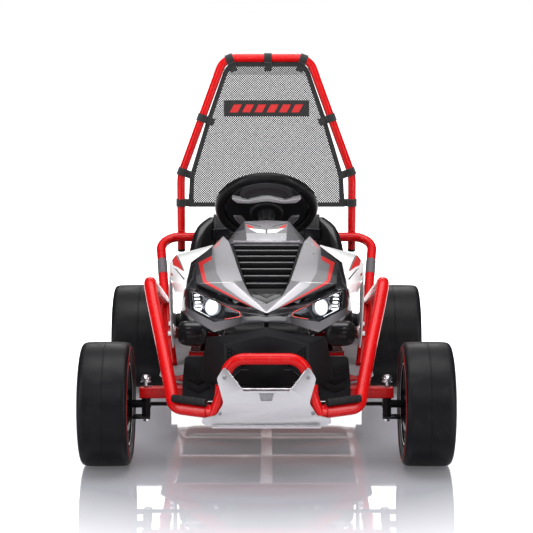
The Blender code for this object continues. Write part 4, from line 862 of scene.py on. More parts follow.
def sideOf(f, flat, a, b, inside, soft=0.0003):  # 1 on the side of the line a to b that inside lies on
    a, b, inside = Vector(a), Vector(b), Vector(inside)
    normal = Vector((a.y - b.y, b.x - a.x)).normalized()
    if normal.dot(inside - a) < 0:
        normal = -normal
    shift = f.add("ShaderNodeVectorMath", {0: flat, 1: (a.x, a.y, 0)}, operation="SUBTRACT").outputs[0]
    along = f.add("ShaderNodeVectorMath", {0: shift, 1: (normal.x, normal.y, 0)},
                  operation="DOT_PRODUCT").outputs["Value"]
    return f.spread(along, -soft, soft)


def gathered(f, operation, masks):  # several masks brought together into one
    whole = masks[0]
    for mask in masks[1:]:
        whole = f.math(operation, whole, mask)
    return whole


def insideOf(f, flat, points, inside, soft=0.0003):  # 1 on the inner side of each stretch of a line
    return gathered(f, "MINIMUM", [sideOf(f, flat, a, b, inside, soft)
                                   for a, b in zip(points, points[1:])])


def patchOf(f, flat, corners):  # a convex patch
    middle = sum((Vector(c) for c in corners), Vector((0, 0))) / len(corners)
    return insideOf(f, flat, corners + corners[:1], middle)


# hood: dark outer band, red line, silver arms of a lighter silver that brightens towards their lower ends
# as a painted reflection
hoodSet = {"silver": (0.2, 0.195, 0.205), "dark": (0.034, 0.032, 0.037), "red": (0.6, 0.03, 0.03),
           "line": [(0.1326, 0.4745), (0.1626, 0.4602), (0.1484, 0.4254), (0.0307, 0.3824)],
           "crease": [(0.133, 0.512), (0.1171, 0.4425), (0.0989, 0.4214), (0.0615, 0.4008),
                      (0.012, 0.377)],
           "hatch": [(0.1276, 0.4885), (0.1195, 0.508), (0.1085, 0.512), (0.115, 0.496)],
           "hatchColor": (0.55, 0.16, 0.17), "lighten": (0.46, 0.39), "arm": (1.35, 2.4),
           "widths": [(0.007, 0.009), (0.0095, 0.008), (0.0052, 0.0018)]}


def hoodFinish():
    f = Finish("hoodPaint", hoodSet["silver"], 0.27, 0.45, **{"Coat Weight": 0.7, "Coat Roughness": 0.05})
    flat, line, inside = flatPlace(f), hoodSet["line"], (0.09, 0.43)
    inner = insideOf(f, flat, line[1:], inside)
    flake = f.spread(f.noise(1500, 2), 0.3, 0.7)
    silver = f.blend(flake, shadeOf(hoodSet["silver"], 0.94), shadeOf(hoodSet["silver"], 1.06))
    bright = insideOf(f, flat, hoodSet["crease"], (0.04, 0.47), 0.0008)
    # painted reflection: the arms' lighter silver grows brighter towards their lower ends
    height = f.add("ShaderNodeSeparateXYZ", {0: flat}).outputs["Y"]
    arm = f.blend(f.spread(height, *hoodSet["lighten"]),
                  *(shadeOf(hoodSet["silver"], factor) for factor in hoodSet["arm"]))
    silver = f.blend(bright, silver, arm)
    upper = f.math("MAXIMUM", sideOf(f, flat, line[0], line[1], inside),
                   sideOf(f, flat, (0.13, 0.0), (0.13, 1.0), (0.0, 0.4)))
    color = f.blend(f.math("MINIMUM", inner, upper), hoodSet["dark"], silver)
    bands = []
    for a, b, widths in zip(line, line[1:], hoodSet["widths"]):
        a, b = Vector(a), Vector(b)
        across = Vector((a.y - b.y, b.x - a.x)).normalized()
        if across.dot(Vector(inside) - a) < 0:
            across = -across
        near, far = (across * width for width in widths)
        bands.append(patchOf(f, flat, [tuple(a), tuple(b), tuple(b + far), tuple(a + near)]))
    color = f.blend(gathered(f, "MAXIMUM", bands), color, hoodSet["red"])
    hatch = patchOf(f, flat, hoodSet["hatch"])
    color = f.blend(f.math("MULTIPLY", hatch, 0.75), color, hoodSet["hatchColor"])
    return f.lacquer(color, 0.27, 0.31, 0.002)


# wings: white with a red block, a grey patch and dark sweeps by the tube
wingSet = {"white": (0.86, 0.865, 0.87), "red": (0.62, 0.03, 0.03), "grey": (0.2, 0.185, 0.19),
           "dark": (0.03, 0.03, 0.034),
           "redBlocks": [[(0.233, 0.4545), (0.2215, 0.4605), (0.1985, 0.4382), (0.2275, 0.44)],
                         [(0.2335, 0.424), (0.2275, 0.4225), (0.227, 0.4185), (0.232, 0.419)]],
           "greyPatch": [(0.2215, 0.4612), (0.215, 0.4595), (0.1962, 0.44), (0.1995, 0.438)],
           "darkLine": [(0.227, 0.4352), (0.218, 0.4342), (0.193, 0.4268), (0.1945, 0.4243)]}


def wingFinish():
    f = Finish("wingPaint", wingSet["white"], 0.2, 0.0, **{"Coat Weight": 0.6, "Coat Roughness": 0.05})
    flat = flatPlace(f)
    color = f.blend(f.spread(f.noise(4, 3), 0.3, 0.7), shadeOf(wingSet["white"], 0.96), wingSet["white"])
    fields = [(corners, "red") for corners in wingSet["redBlocks"]]
    for corners, tint in fields + [(wingSet["greyPatch"], "grey"), (wingSet["darkLine"], "dark")]:
        color = f.blend(patchOf(f, flat, corners), color, wingSet[tint])
    return f.lacquer(color, 0.17, 0.25, 0.006)


# console: light silver with generic red and white wedges
dashSet = {"light": (0.36, 0.355, 0.37), "flank": (0.085, 0.082, 0.09), "red": (0.62, 0.02, 0.02),
           "white": (0.85, 0.85, 0.84), "dark": (0.05, 0.05, 0.058), "grey": (0.2, 0.195, 0.205),
           "wedges": [("grey", [(0.06, 0.56), (0.0, 0.56), (0.0, 0.52), (0.06, 0.52)]),
                      ("dark", [(0.053, 0.5415), (0.051, 0.5395), (0.013, 0.5325), (0.015, 0.5345)]),
                      ("red", [(0.0495, 0.5385), (0.0465, 0.5325), (0.029, 0.529), (0.033, 0.5325)]),
                      ("white", [(0.044, 0.53), (0.0025, 0.527), (0.0025, 0.5205), (0.024, 0.5215)]),
                      ("dark", [(0.0012, 0.5285), (0.0, 0.5285), (0.0, 0.5195), (0.001, 0.5195)])]}


def dashFinish():
    f = Finish("consolePaint", dashSet["light"], 0.26, 0.3, **{"Coat Weight": 0.5,
                                                               "Coat Roughness": 0.06})
    flat = flatPlace(f)
    inner = sideOf(f, flat, (0.054, 0.56), (0.047, 0.5), (0.0, 0.53))
    color = f.blend(f.spread(f.noise(900, 2), 0.3, 0.7), shadeOf(dashSet["light"], 0.92),
                    shadeOf(dashSet["light"], 1.05))
    for key, corners in dashSet["wedges"]:
        color = f.blend(patchOf(f, flat, corners), color, dashSet[key])
    return f.lacquer(f.blend(inner, dashSet["flank"], color), 0.2, 0.3, 0.008)


# bezel: gloss black with a satin grey chin below the lamps; the grey fades out towards the middle as a
# painted shadow of the hood's point and darkens towards its outer end as painted shade
bezelSet = {"black": (0.014, 0.014, 0.017), "chin": (0.17, 0.165, 0.175),
            "under": [(0.175, 0.3665), (0.121, 0.347), (0.053, 0.366)],
            "fade": (0.04, 0.1, 0.19, 0.15)}


def bezelFinish():
    f = Finish("bezelPaint", bezelSet["black"], 0.2, 0.2, **{"Coat Weight": 0.4, "Coat Roughness": 0.05,
                                                             "Specular IOR Level": 0.35})
    flat = flatPlace(f)
    a, b, c = bezelSet["under"]
    below = f.math("MAXIMUM", sideOf(f, flat, a, b, (0.15, 0.33)), sideOf(f, flat, b, c, (0.08, 0.34)))
    across = f.add("ShaderNodeSeparateXYZ", {0: flat}).outputs["X"]
    # painted shade: the chin's grey fades to black towards the middle and darkens towards its outer end
    start, full, outer, inner = bezelSet["fade"]
    fade = f.math("MULTIPLY", f.spread(across, start, full), f.spread(across, outer, inner, 0.25, 1.0))
    color = f.blend(f.math("MULTIPLY", below, fade), bezelSet["black"], bezelSet["chin"])
    return f.lacquer(color, 0.17, 0.24, 0.006)


def softCopies(table, suffix, corner):  # solids whose shape is right, copied with softened edges
    for nodes, finish, slot, edge in table:
        for node in nodes:
            fit(softEdges(copyOf(node), edge, 2, corner), node.replace("_", "") + suffix, finish,
                [node], 40, node if node.startswith("knuckle") else "chassis")


softCopies([  # nodes, finish, slot, edge width
    (["hood_panel"], hoodFinish(), "silver_plastic", 0.0014),
    (["wing_left", "wing_right"], wingFinish(), "white_plastic", 0.0014),
    (["light_bezel"], bezelFinish(), "gloss_black", 0.0012),
    (["lower_shroud"], grainBlack, "black_plastic", 0.0014),
    (["dash_cowl"], dashFinish(), "silver_plastic", 0.0018),
    (["side_panel_left", "side_panel_right"], whitePlastic, "white_plastic", 0.0009),
    (["pedal_left", "pedal_right"], grainBlack, "black_plastic", 0.0007),
    (["motor_left", "motor_right"], grainBlack, "black_plastic", 0.0015),
], ".moulding", 18)
print("nose mouldings softened")

# grille: black backing, seven thin lips over deep gaps, their slanting undersides painted near-black as
# the shade under the lips, a bright top bar and a point panel
grilleSet = {"top": (0.0, -0.26, 0.501), "foot": (0.0, -0.47, 0.39),
             "lips": [0.035, 0.125, 0.225, 0.33, 0.44, 0.555, 0.68], "wide": 0.08, "taper": 0.047,
             "lip": [(0.0, 0.0012), (0.0018, 0.002), (0.0026, 0.0006), (0.0026, -0.0012),
                     (0.0002, -0.0012)],
             "slat": [(0.0003, -0.0014), (0.0027, -0.0014), (0.0084, -0.012), (0.006, -0.0126)],
             "bar": [(-0.022, 0.0015), (-0.02, 0.0042), (-0.004, 0.0048), (0.004, 0.003),
                     (0.004, -0.006), (-0.016, -0.006)], "barHalf": 0.0795,
             "point": [  # depth, thickness, corners
                 (0.01, 0.006, [(0.0445, 0.745), (0.031, 0.88), (0.0, 0.965), (-0.031, 0.88),
                                (-0.0445, 0.745)]),
                 (0.0045, 0.0022, [(0.03, 0.8), (0.0, 0.9), (-0.03, 0.8), (-0.03, 0.78), (0.0, 0.872),
                                   (0.03, 0.78)])],
             "outline": [(0.084, 0.015), (0.05, 0.66), (0.031, 0.885), (0.0, 0.985)]}
grilleTop, grilleFoot = spot(*grilleSet["top"]), spot(*grilleSet["foot"])
grilleSlope = grilleFoot - grilleTop
grilleNormal = Vector((0, grilleSlope.z, -grilleSlope.y)).normalized()


def onGrille(across, along, lift):  # along runs from 0 at the top to 1 at the foot
    return grilleTop + grilleSlope * along + Vector((across, 0, 0)) + grilleNormal * lift


def prismOf(corners, push):  # a closed solid: one face through the corners, extruded by push
    obj = polygon(corners)
    editAll(obj)
    bpy.ops.mesh.extrude_region_move(TRANSFORM_OT_translate={"value": push})
    bpy.ops.mesh.select_all(action="SELECT")
    bpy.ops.mesh.normals_make_consistent(inside=False)
    done()
    return obj


backing = prismOf([onGrille(a, t, -0.0138) for a, t in wholeOutline(grilleSet["outline"])],
                  grilleNormal * 0.003)
fit(softEdges(backing, 0.0006), "grilleBacking", glossBlack, ["hood_grille"])
lips, shadedUndersides = [], []
for along in grilleSet["lips"]:
    half = grilleSet["wide"] - grilleSet["taper"] * along
    step = grilleSlope.length
    for group, section in ((lips, grilleSet["lip"]), (shadedUndersides, grilleSet["slat"])):
        part = prismOf([onGrille(-half, along + run / step, lift) for run, lift in section],
                       Vector((2 * half, 0, 0)))
        group.append(softEdges(part, 0.0004, 2, 25))
lipGrey = moulded("lipGrey", (0.26, 0.255, 0.265), 0.26, 600, 0.01, 0.3, 0.2)
# painted shade: near-black for the slanting undersides of the lips, standing for the shade under each lip
# and in the gaps
lipShadeBlack = moulded("lipShadeBlack", (0.003, 0.003, 0.0035), 0.5, 900, 0.05)
fit(lips, "grilleLips", lipGrey)
fit(shadedUndersides, "grilleShadedUndersides", lipShadeBlack)
topBar = prismOf([onGrille(-grilleSet["barHalf"], t, lift) for t, lift in grilleSet["bar"]],
                 Vector((2 * grilleSet["barHalf"], 0, 0)))
fit(softEdges(topBar, 0.0006, 2, 25), "grilleTopBar", silverPlastic)
rails = []
for side in (1, -1):
    edge = [onGrille(side * (grilleSet["wide"] + 0.003 - grilleSet["taper"] * t), t, -0.0045)
            for t in (0.0, 0.33, 0.66, 0.8)]
    edge += [onGrille(side * 0.032, 0.895, -0.0045), onGrille(0.0, 0.985, -0.0045)]
    rails.append(tube(roundedRoute(edge, 0.02), 0.0036, 4))
for depth, thickness, corners in grilleSet["point"]:
    point = prismOf([onGrille(a, t, -depth) for a, t in corners], grilleNormal * thickness)
    rails.append(softEdges(point, 0.0008, 2, 30))
fit(rails, "grilleFrame", glossBlack, angle=40)
print("grille made")

# headlights: bucket, lamp with reflector, stacked light bars, red guide and clear cover; the reflector and
# the white frame round the bars glow faintly as painted light
lampSet = {"corners": [(0.18, -0.417, 0.4145), (0.175, -0.43, 0.3665), (0.121, -0.475, 0.347),
                       (0.053, -0.519, 0.366), (0.056, -0.513, 0.376)],
           "bulb": (0.13, 0.379), "bulbRadius": 0.015, "bars": 5, "barPitch": 0.0078,
           "barStart": (0.1655, 0.401), "barSize": (0.014, 0.004, 0.004),
           "frame": [(0.148, 0.401), (0.176, 0.41), (0.1705, 0.37), (0.135, 0.356)]}
bucketChrome = zincPlate("bucketChrome", (0.16, 0.16, 0.17), 0.2)


def glowing(name, color, strength):
    f = Finish(name, color, 0.3)
    f.shader.inputs["Emission Color"].default_value = (*color, 1)
    f.shader.inputs["Emission Strength"].default_value = strength
    f.gloss(f.spread(f.noise(60, 2), 0.3, 0.7, 0.25, 0.4))
    return f.material


def clearLens():
    f = Finish("clearLens", (0.97, 0.98, 1.0), 0.02, 0.0, **{"Transmission Weight": 1.0, "IOR": 1.12})
    f.gloss(f.spread(f.noise(90, 2), 0.3, 0.7, 0.0, 0.02))
    return f.material


lampGlow, barGlow = glowing("lampGlow", (1.0, 0.98, 0.95), 7.0), glowing("barGlow", (1.0, 1.0, 1.0), 1.2)
# painted light: the white frame round the light bars glows faintly, though it is no lamp
paintedFrameGlow = glowing("paintedFrameGlow", (0.9, 0.9, 0.92), 0.35)
# painted reflection: the reflector bowl glows faintly, though it is no lamp
reflectorPaintedGlow = glowing("reflectorPaintedGlow", (0.62, 0.64, 0.67), 0.22)
tipRed = glowing("tipRed", (0.75, 0.1, 0.08), 0.35)
lensClear = clearLens()
for end, side in ends:
    corners = spots(lampSet["corners"], side)
    centre = sum(corners, Vector()) / len(corners)
    normal = (corners[1] - corners[0]).cross(corners[2] - corners[0]).normalized()
    normal = normal if normal.y < 0 else -normal
    across = (Vector((side, 0, 0)) - normal * side * normal.x).normalized()
    rise = across.cross(normal) if across.cross(normal).z > 0 else normal.cross(across)
    turn = Matrix((across, rise, normal)).transposed()

    def onLamp(x, z, depth):  # the point of the lamp's plane seen at x and z, and a depth behind it
        flat = Vector((side * x, centre.y, z))
        flat.y += (centre - flat).dot(normal) / normal.y
        return flat - normal * depth

    ring = [centre + (p - centre) * 0.955 for p in corners]
    flatRing = [p - normal * (p - centre).dot(normal) for p in ring]
    bucket = prismOf([p - normal * 0.004 for p in flatRing], -normal * 0.019)
    squeeze(bucket, lambda c, n: n.dot(normal) < -0.9, (0.84, 0.84, 0.84),
            center_override=centre - normal * 0.023)
    pocket(bucket, lambda c, n: n.dot(normal) > 0.9, 0.0022, -normal * 0.0155, (0.76, 0.76, 0.76),
           center_override=centre - normal * 0.0195)
    fit(softEdges(bucket, 0.0005, 2, 30), "lampBucket." + end, bucketChrome,
        ["headlight_" + end])
    bulbPlace = onLamp(*lampSet["bulb"], 0.0085)
    r = lampSet["bulbRadius"]
    bowl = turned([(-0.0085, 0.0), (-0.0085, r * 0.35), (-0.006, r * 0.72), (0.0, r), (0.0022, r * 1.12),
                   (0.0028, r * 1.26), (0.0012, r * 1.34), (-0.01, r * 1.2), (-0.0105, 0.0)],
                  bulbPlace, normal, 48)
    fit(bowl, "lampReflector." + end, reflectorPaintedGlow, angle=30)
    bulb = turned([(-0.0082, 0.0), (-0.0082, r * 0.55), (-0.003, r * 0.66), (0.0005, r * 0.5),
                   (0.0022, r * 0.22), (0.0026, 0.0)], bulbPlace, normal, 32)
    fit(bulb, "lampBulb." + end, lampGlow)
    bars = []
    for k in range(lampSet["bars"]):
        x, z = lampSet["barStart"]
        bars.append(block(onLamp(x - 0.0012 * k, z - lampSet["barPitch"] * k, 0.0068),
                          lampSet["barSize"], turn, 0.0008))
    fit(bars, "lampBars." + end, barGlow)
    frameLine = [onLamp(x, z, 0.006) for x, z in lampSet["frame"]]
    lampFrame = tube(roundedRoute(frameLine, 0.003), 0.0013, 4)
    fit(lampFrame, "lampFrame." + end, paintedFrameGlow)
    tip = [corners[4].lerp(corners[0], 0.42), corners[4], corners[3], corners[3].lerp(corners[2], 0.62)]
    tip = [centre + (p - centre) * 0.9 - normal * ((p - centre).dot(normal) + 0.004) for p in tip]
    guide = tube(roundedRoute(tip, 0.004), 0.0009, 4)
    fit(guide, "lampGuide." + end, tipRed)
    cover = prismOf([centre + (p - centre) * 0.965 - normal * 0.0012 for p in corners], -normal * 0.0012)
    fit(softEdges(cover, 0.0003, 1, 30), "lampCover." + end, lensClear, angle=30)
print("headlights made")

# steering wheel, drawn flat (across, up, out towards the nose) and then set on the column
steerSet = {"centre": (0.0, -0.03, 0.563), "radius": 0.118, "grip": 0.0121, "swell": 0.05,
            "seams": (38, 142, 218, 322), "hold": 0.62,
            "dome": [(0.0, 0.1058), (0.02, 0.1045), (0.037, 0.099), (0.0545, 0.09), (0.066, 0.075),
                     (0.07, 0.056), (0.0703, 0.04)],
            "bar": [(0.0, 0.0629), (0.0118, 0.0617), (0.0296, 0.0555), (0.0471, 0.05), (0.0693, 0.0557),
                    (0.085, 0.0612), (0.0868, 0.057), (0.0815, 0.0495), (0.0739, 0.0408),
                    (0.0471, 0.0389), (0.0296, 0.0405), (0.0118, 0.0455), (0.0, 0.047)],
            "leaf": [(0.0845, -0.0215), (0.0625, -0.024), (0.052, -0.045), (0.048, -0.068),
                     (0.059, -0.072), (0.07, -0.052), (0.079, -0.037)]}
columnAxis = Vector((0, 1, 1)).normalized()
wheelUp = Vector((0, -1, 1)).normalized()
wheelCentre = spot(*steerSet["centre"])
wheelPlace = Matrix.Translation(wheelCentre) @ Matrix(
    (Vector((1, 0, 0)), wheelUp, -columnAxis)).transposed().to_4x4()


def onWheel(obj):
    obj.matrix_world = wheelPlace
    return settle(obj)


def plate(outline, low, high, edge, segments):  # a flat plate, with soft edges
    obj = prismOf([(x, y, low) for x, y in outline], Vector((0, 0, high - low)))
    return softEdges(obj, edge, segments, 40)


rimRing = made(bpy.ops.mesh.primitive_torus_add, major_segments=144, minor_segments=28,
               major_radius=steerSet["radius"], minor_radius=steerSet["grip"])
for vert in rimRing.data.vertices:  # thicker where the hands hold it
    turn = math.atan2(vert.co.y, abs(vert.co.x))
    share = max(0.0, 1 - (turn / steerSet["hold"]) ** 2) ** 0.5
    ring = Vector((vert.co.x, vert.co.y, 0)).normalized() * steerSet["radius"]
    vert.co = ring + (vert.co - ring) * (1 + steerSet["swell"] * min(1.0, share * 1.6))
onWheel(rimRing)
leather = rubber("leather", (0.008, 0.0078, 0.0088), 0.32, 0.05)
fit(rimRing, "steeringGrip", leather, ["steering_rim"], 40, "steering")
seams = []
for degrees in steerSet["seams"]:
    turn = math.radians(degrees)
    seams.append(onWheel(settle(made(
        bpy.ops.mesh.primitive_torus_add, major_segments=40, minor_segments=8,
        major_radius=steerSet["grip"] + 0.0002, minor_radius=0.0007,
        location=(math.cos(turn) * steerSet["radius"], math.sin(turn) * steerSet["radius"], 0),
        rotation=(math.pi / 2, 0, turn)))))
fit(seams, "steeringSeams", grainBlack, body="steering")

dish = turned([(-0.008, 0.0), (-0.008, 0.084), (-0.01, 0.09), (-0.0092, 0.101), (-0.004, 0.1052),
               (0.0, 0.105), (-0.0022, 0.1), (-0.004, 0.088), (-0.003, 0.056), (0.003, 0.05),
               (0.0045, 0.044), (0.0045, 0.0)], wheelCentre, columnAxis, 96)
fit(dish, "steeringDish", grainBlack, ["steering_hub"], 40, body="steering")
dome = prismOf([(x, y, 0.006) for x, y in wholeOutline(steerSet["dome"])], Vector((0, 0, 0.0022)))
for inset, rise in ((0.0022, 0.0016), (0.008, 0.0022), (0.012, 0.0016)):
    pickFaces(dome, lambda c, n: n.z > 0.95)
    bpy.ops.mesh.inset(thickness=inset)
    bpy.ops.transform.translate(value=(0, 0, rise))
    done()
onWheel(softEdges(dome, 0.0014, 3, 12))
domeGrey = moulded("domeGrey", (0.032, 0.031, 0.034), 0.36, 800, 0.06, 0.2)
fit(dome, "steeringDome", domeGrey, angle=60, body="steering")
bar = onWheel(plate(wholeOutline(steerSet["bar"]), 0.009, 0.0215, 0.0022, 4))
barSilver = moulded("barSilver", (0.44, 0.43, 0.445), 0.3, 500, 0.02, 0.4, 0.3)
fit(bar, "steeringBar", barSilver, angle=50, body="steering")
leaves = []
for side in (1, -1):
    outline = [(side * x, y) for x, y in steerSet["leaf"]][::side]
    leaf = plate(outline, 0.006, 0.0125, 0.001, 2)
    pocket(leaf, lambda c, n: n.z > 0.95 and c.z > 0.012, 0.0026, (0, 0, -0.0026))
    leaves.append(onWheel(leaf))
leafGrey = moulded("leafGrey", (0.17, 0.165, 0.175), 0.3, 600, 0.02, 0.3)
fit(leaves, "steeringLeaves", leafGrey, angle=40, body="steering")
boss = turned([(-0.007, 0.0), (-0.007, 0.044), (-0.018, 0.0425), (-0.0215, 0.0415), (-0.024, 0.0385),
               (-0.0246, 0.035), (-0.0235, 0.033), (-0.0235, 0.023), (-0.042, 0.019),
               (-0.05, 0.015), (-0.052, 0.013), (-0.052, 0.0062), (-0.052, 0.0)],
              wheelCentre, columnAxis, 72)
fit(boss, "steeringBoss", grainBlack, angle=40, body="steering")

# driver's side: horn pad with two round buttons and three flat arms
padSet = {"outline": [(0.04, -0.024), (0.046, 0.0), (0.036, 0.026), (-0.036, 0.026), (-0.046, 0.0),
                      (-0.04, -0.024), (-0.024, -0.038), (0.024, -0.038)],
          "arm": [(0.04, -0.016), (0.1, -0.01), (0.1, 0.01), (0.04, 0.016)], "armTurns": (4, 176, 270),
          "button": [(0.0, 0.0), (0.0, 0.0095), (0.0016, 0.0095), (0.0022, 0.0088), (0.0018, 0.0078),
                     (0.0036, 0.007), (0.0042, 0.005), (0.0042, 0.0)],
          "buttonsAt": [(-0.02, 0.004, -0.012), (0.02, 0.004, -0.012)]}
pad = plate(padSet["outline"], -0.0125, -0.004, 0.003, 4)
fit(onWheel(pad), "hornPad", domeGrey, angle=50, body="steering")
arms = []
for degrees in padSet["armTurns"]:
    arm = plate(padSet["arm"], -0.006, -0.001, 0.0016, 3)
    arm.matrix_world = Matrix.Rotation(math.radians(degrees), 4, "Z")
    arms.append(onWheel(settle(arm)))
fit(arms, "steeringArms", barSilver, angle=50, body="steering")
buttons = [turned(padSet["button"], wheelPlace @ Vector(at), columnAxis, 40) for at in padSet["buttonsAt"]]
fit(buttons, "hornButtons", ringRed, body="steering")
print("steering wheel built")

# seat: one moulded shell, smoothed from its stations
seatSet = {"wall": 0.006, "stations": [  # along, height, half width, bolster height, lean
    (-0.025, 0.236, 0.196, 0.032, 88), (-0.005, 0.238, 0.213, 0.052, 88), (0.06, 0.24, 0.215, 0.062, 84),
    (0.14, 0.234, 0.214, 0.072, 76), (0.21, 0.241, 0.212, 0.086, 55), (0.25, 0.275, 0.21, 0.094, 26),
    (0.271, 0.335, 0.206, 0.08, 10), (0.284, 0.395, 0.202, 0.062, 8), (0.296, 0.456, 0.19, 0.04, 8),
    (0.303, 0.482, 0.172, 0.022, 8), (0.307, 0.498, 0.148, 0.01, 8)],
    "across": [(0.0, 0.0), (0.35, 0.0), (0.64, 0.05), (0.8, 0.45), (0.9, 1.02), (1.03, 1.0), (1.07, 0.4),
               (1.0, -0.5)]}
rows, columns = len(seatSet["stations"]), 2 * len(seatSet["across"]) - 1
seat = made(bpy.ops.mesh.primitive_grid_add, x_subdivisions=columns - 1, y_subdivisions=rows - 1, size=1)
across = [(-a, b) for a, b in reversed(seatSet["across"][1:])] + seatSet["across"]
for k, vert in enumerate(seat.data.vertices):
    along, height, width, bolster, lean = seatSet["stations"][k // columns]
    part, lift = across[k % columns]
    rise = Vector((0, -math.cos(math.radians(lean)), math.sin(math.radians(lean))))
    vert.co = spot(width * part, along, height) + rise * (bolster * lift)
modify(seat, "SUBSURF", levels=3, render_levels=3)
recalculate(seat)
if sum(face.normal.z * face.area for face in seat.data.polygons) < 0:
    editAll(seat)
    bpy.ops.mesh.flip_normals()
    done()
modify(seat, "SOLIDIFY", thickness=seatSet["wall"], offset=-1.0, use_quality_normals=True)
softEdges(seat, 0.0018, 3, 50)
seatGloss = moulded("seatGloss", (0.009, 0.0088, 0.01), 0.24, 600, 0.06, 0.35)
fit(seat, "seatShell", seatGloss, ["seat_shell"], 50)

# harness: two woven belts over the seat's top edge, sewn along both edges, with buckles
beltSet = {"width": 0.034, "thick": 0.0026, "seam": 0.0125, "pitch": 0.0062, "route": [
    (0.128, 0.3165, 0.4), (0.128, 0.3175, 0.5045), (0.128, 0.2905, 0.5045), (0.127, 0.28, 0.482),
    (0.124, 0.277, 0.455), (0.116, 0.2735, 0.395), (0.108, 0.261, 0.335), (0.098, 0.243, 0.288)]}


def ribbon(route, width, thick):  # a flat strap along a route that lies across X
    obj = made(bpy.ops.mesh.primitive_grid_add, x_subdivisions=1, y_subdivisions=len(route) - 1, size=1)
    for k, vert in enumerate(obj.data.vertices):
        vert.co = route[k // 2] + Vector(((k % 2 - 0.5) * width, 0, 0))
    recalculate(obj)
    modify(obj, "SOLIDIFY", thickness=thick, offset=0, use_quality_normals=True)
    return softEdges(obj, 0.0005, 2, 50)


for end, side in ends:
    route = roundedRoute(spots(beltSet["route"], side), [0.006, 0.006, 0.02, 0.02, 0.05, 0.05], 12)
    strap = ribbon(route, beltSet["width"], beltSet["thick"])
    fit(strap, "belt." + end, belt, ["harness_" + end], 50)
    threads, travelled, mark = [], 0.0, 0.02
    for here, there in zip(route, route[1:]):
        length = (there - here).length
        while mark < travelled + length:
            middle = here.lerp(there, (mark - travelled) / length)
            direction = (there - here).normalized()
            turn = Matrix((direction, Vector((1, 0, 0)), direction.cross(Vector((1, 0, 0))))).transposed()
            for offset in (-beltSet["seam"], beltSet["seam"]):
                threads.append(block(middle + Vector((offset, 0, 0)), (0.0036, 0.0008, 0.0034), turn))
            mark += beltSet["pitch"]
        travelled += length
    fit(threads, "beltStitches." + end, stitchThread, angle=0)
    parts = []
    for height, tall in ((0.455, 0.03), (0.312, 0.04)):
        k = max(range(len(route) - 1), key=lambda n: (route[n].y < 0.34) * (1 - abs(route[n].z - height)))
        direction = (route[min(k + 1, len(route) - 1)] - route[k - 1]).normalized()
        face = Vector((1, 0, 0)).cross(direction).normalized()
        face = face if face.y < 0 else -face
        turn = Matrix((Vector((1, 0, 0)), direction, Vector((1, 0, 0)).cross(direction))).transposed()
        part = block((0, 0, 0), (beltSet["width"] + 0.01, tall, 0.007), None, 0.0018, 3)
        pickFaces(part, lambda c, n: abs(n.z) > 0.9)
        bpy.ops.mesh.inset(thickness=0.0045)
        bpy.ops.mesh.extrude_region_shrink_fatten(TRANSFORM_OT_shrink_fatten={"value": -0.0016})
        done()
        part.matrix_world = Matrix.Translation(route[k] + face * 0.0016) @ turn.to_4x4()
        parts.append(settle(part))
    fit(parts, "beltBuckles." + end, glossBlack, angle=40)
print("seat and harness made")

# lobes under the seat's front corners, and grey label places on the hoop, left bare
lobeSet = {"centre": (0.189, -0.016, 0.236), "size": (0.078, 0.06, 0.066), "edge": 0.023,
           "patch": (0.2824, 0.25, 0.3652), "ends": [(0.271, 0.15, 0.3), (0.295, 0.36, 0.437)],
           "radius": 0.013, "half": 0.029}
lobeSkin = moulded("lobeSkin", (0.026, 0.0255, 0.029), 0.33, 500, 0.01, 0.5)
patchGrey = moulded("patchGrey", (0.12, 0.112, 0.12), 0.4, 600, 0.02, 0.1)
for end, side in ends:
    centre, labelMiddle = spots([lobeSet["centre"], lobeSet["patch"]], side)
    lobe = block(centre, lobeSet["size"], None, lobeSet["edge"], 6)
    squeeze(lobe, lambda c, n: n.z < -0.9, (0.86, 0.9, 1), center_override=centre)
    fit(lobe, "seatLobe." + end, lobeSkin, angle=60)
    low, high = spots(lobeSet["ends"], side)
    r, half = lobeSet["radius"], lobeSet["half"]
    label = turned([(-half, r), (-half, r + 0.0005), (half, r + 0.0005), (half, r), (-half, r)],
                   labelMiddle, high - low, 40)
    fit(label, "hoopPatch." + end, patchGrey, angle=40)

# foot grips: ribbed rubber sleeves on the front runs of the guards
gripSet = {"start": (0.211, -0.5763, 0.1914), "end": (0.134, -0.6123, 0.189), "radius": 0.0088,
           "ribs": 12, "groove": 0.0009}
for end, side in ends:
    start, stop = spots([gripSet["start"], gripSet["end"]], side)
    length, radius, groove = (stop - start).length, gripSet["radius"], gripSet["groove"]
    profile = [(0.0, 0.0), (0.0, radius - 0.0015), (0.0012, radius)]
    for k in range(gripSet["ribs"]):
        at = 0.004 + (length - 0.008) * k / gripSet["ribs"]
        wide = (length - 0.008) / gripSet["ribs"]
        profile += [(at, radius), (at + wide * 0.12, radius - groove),
                    (at + wide * 0.38, radius - groove), (at + wide * 0.5, radius)]
    profile += [(length - 0.0012, radius), (length, radius - 0.0015), (length, 0.0)]
    sleeve = turned(profile, start, stop - start, 32)
    fit(sleeve, "footGrip." + end, gripRubber, ["foot_grip_" + end], 40)

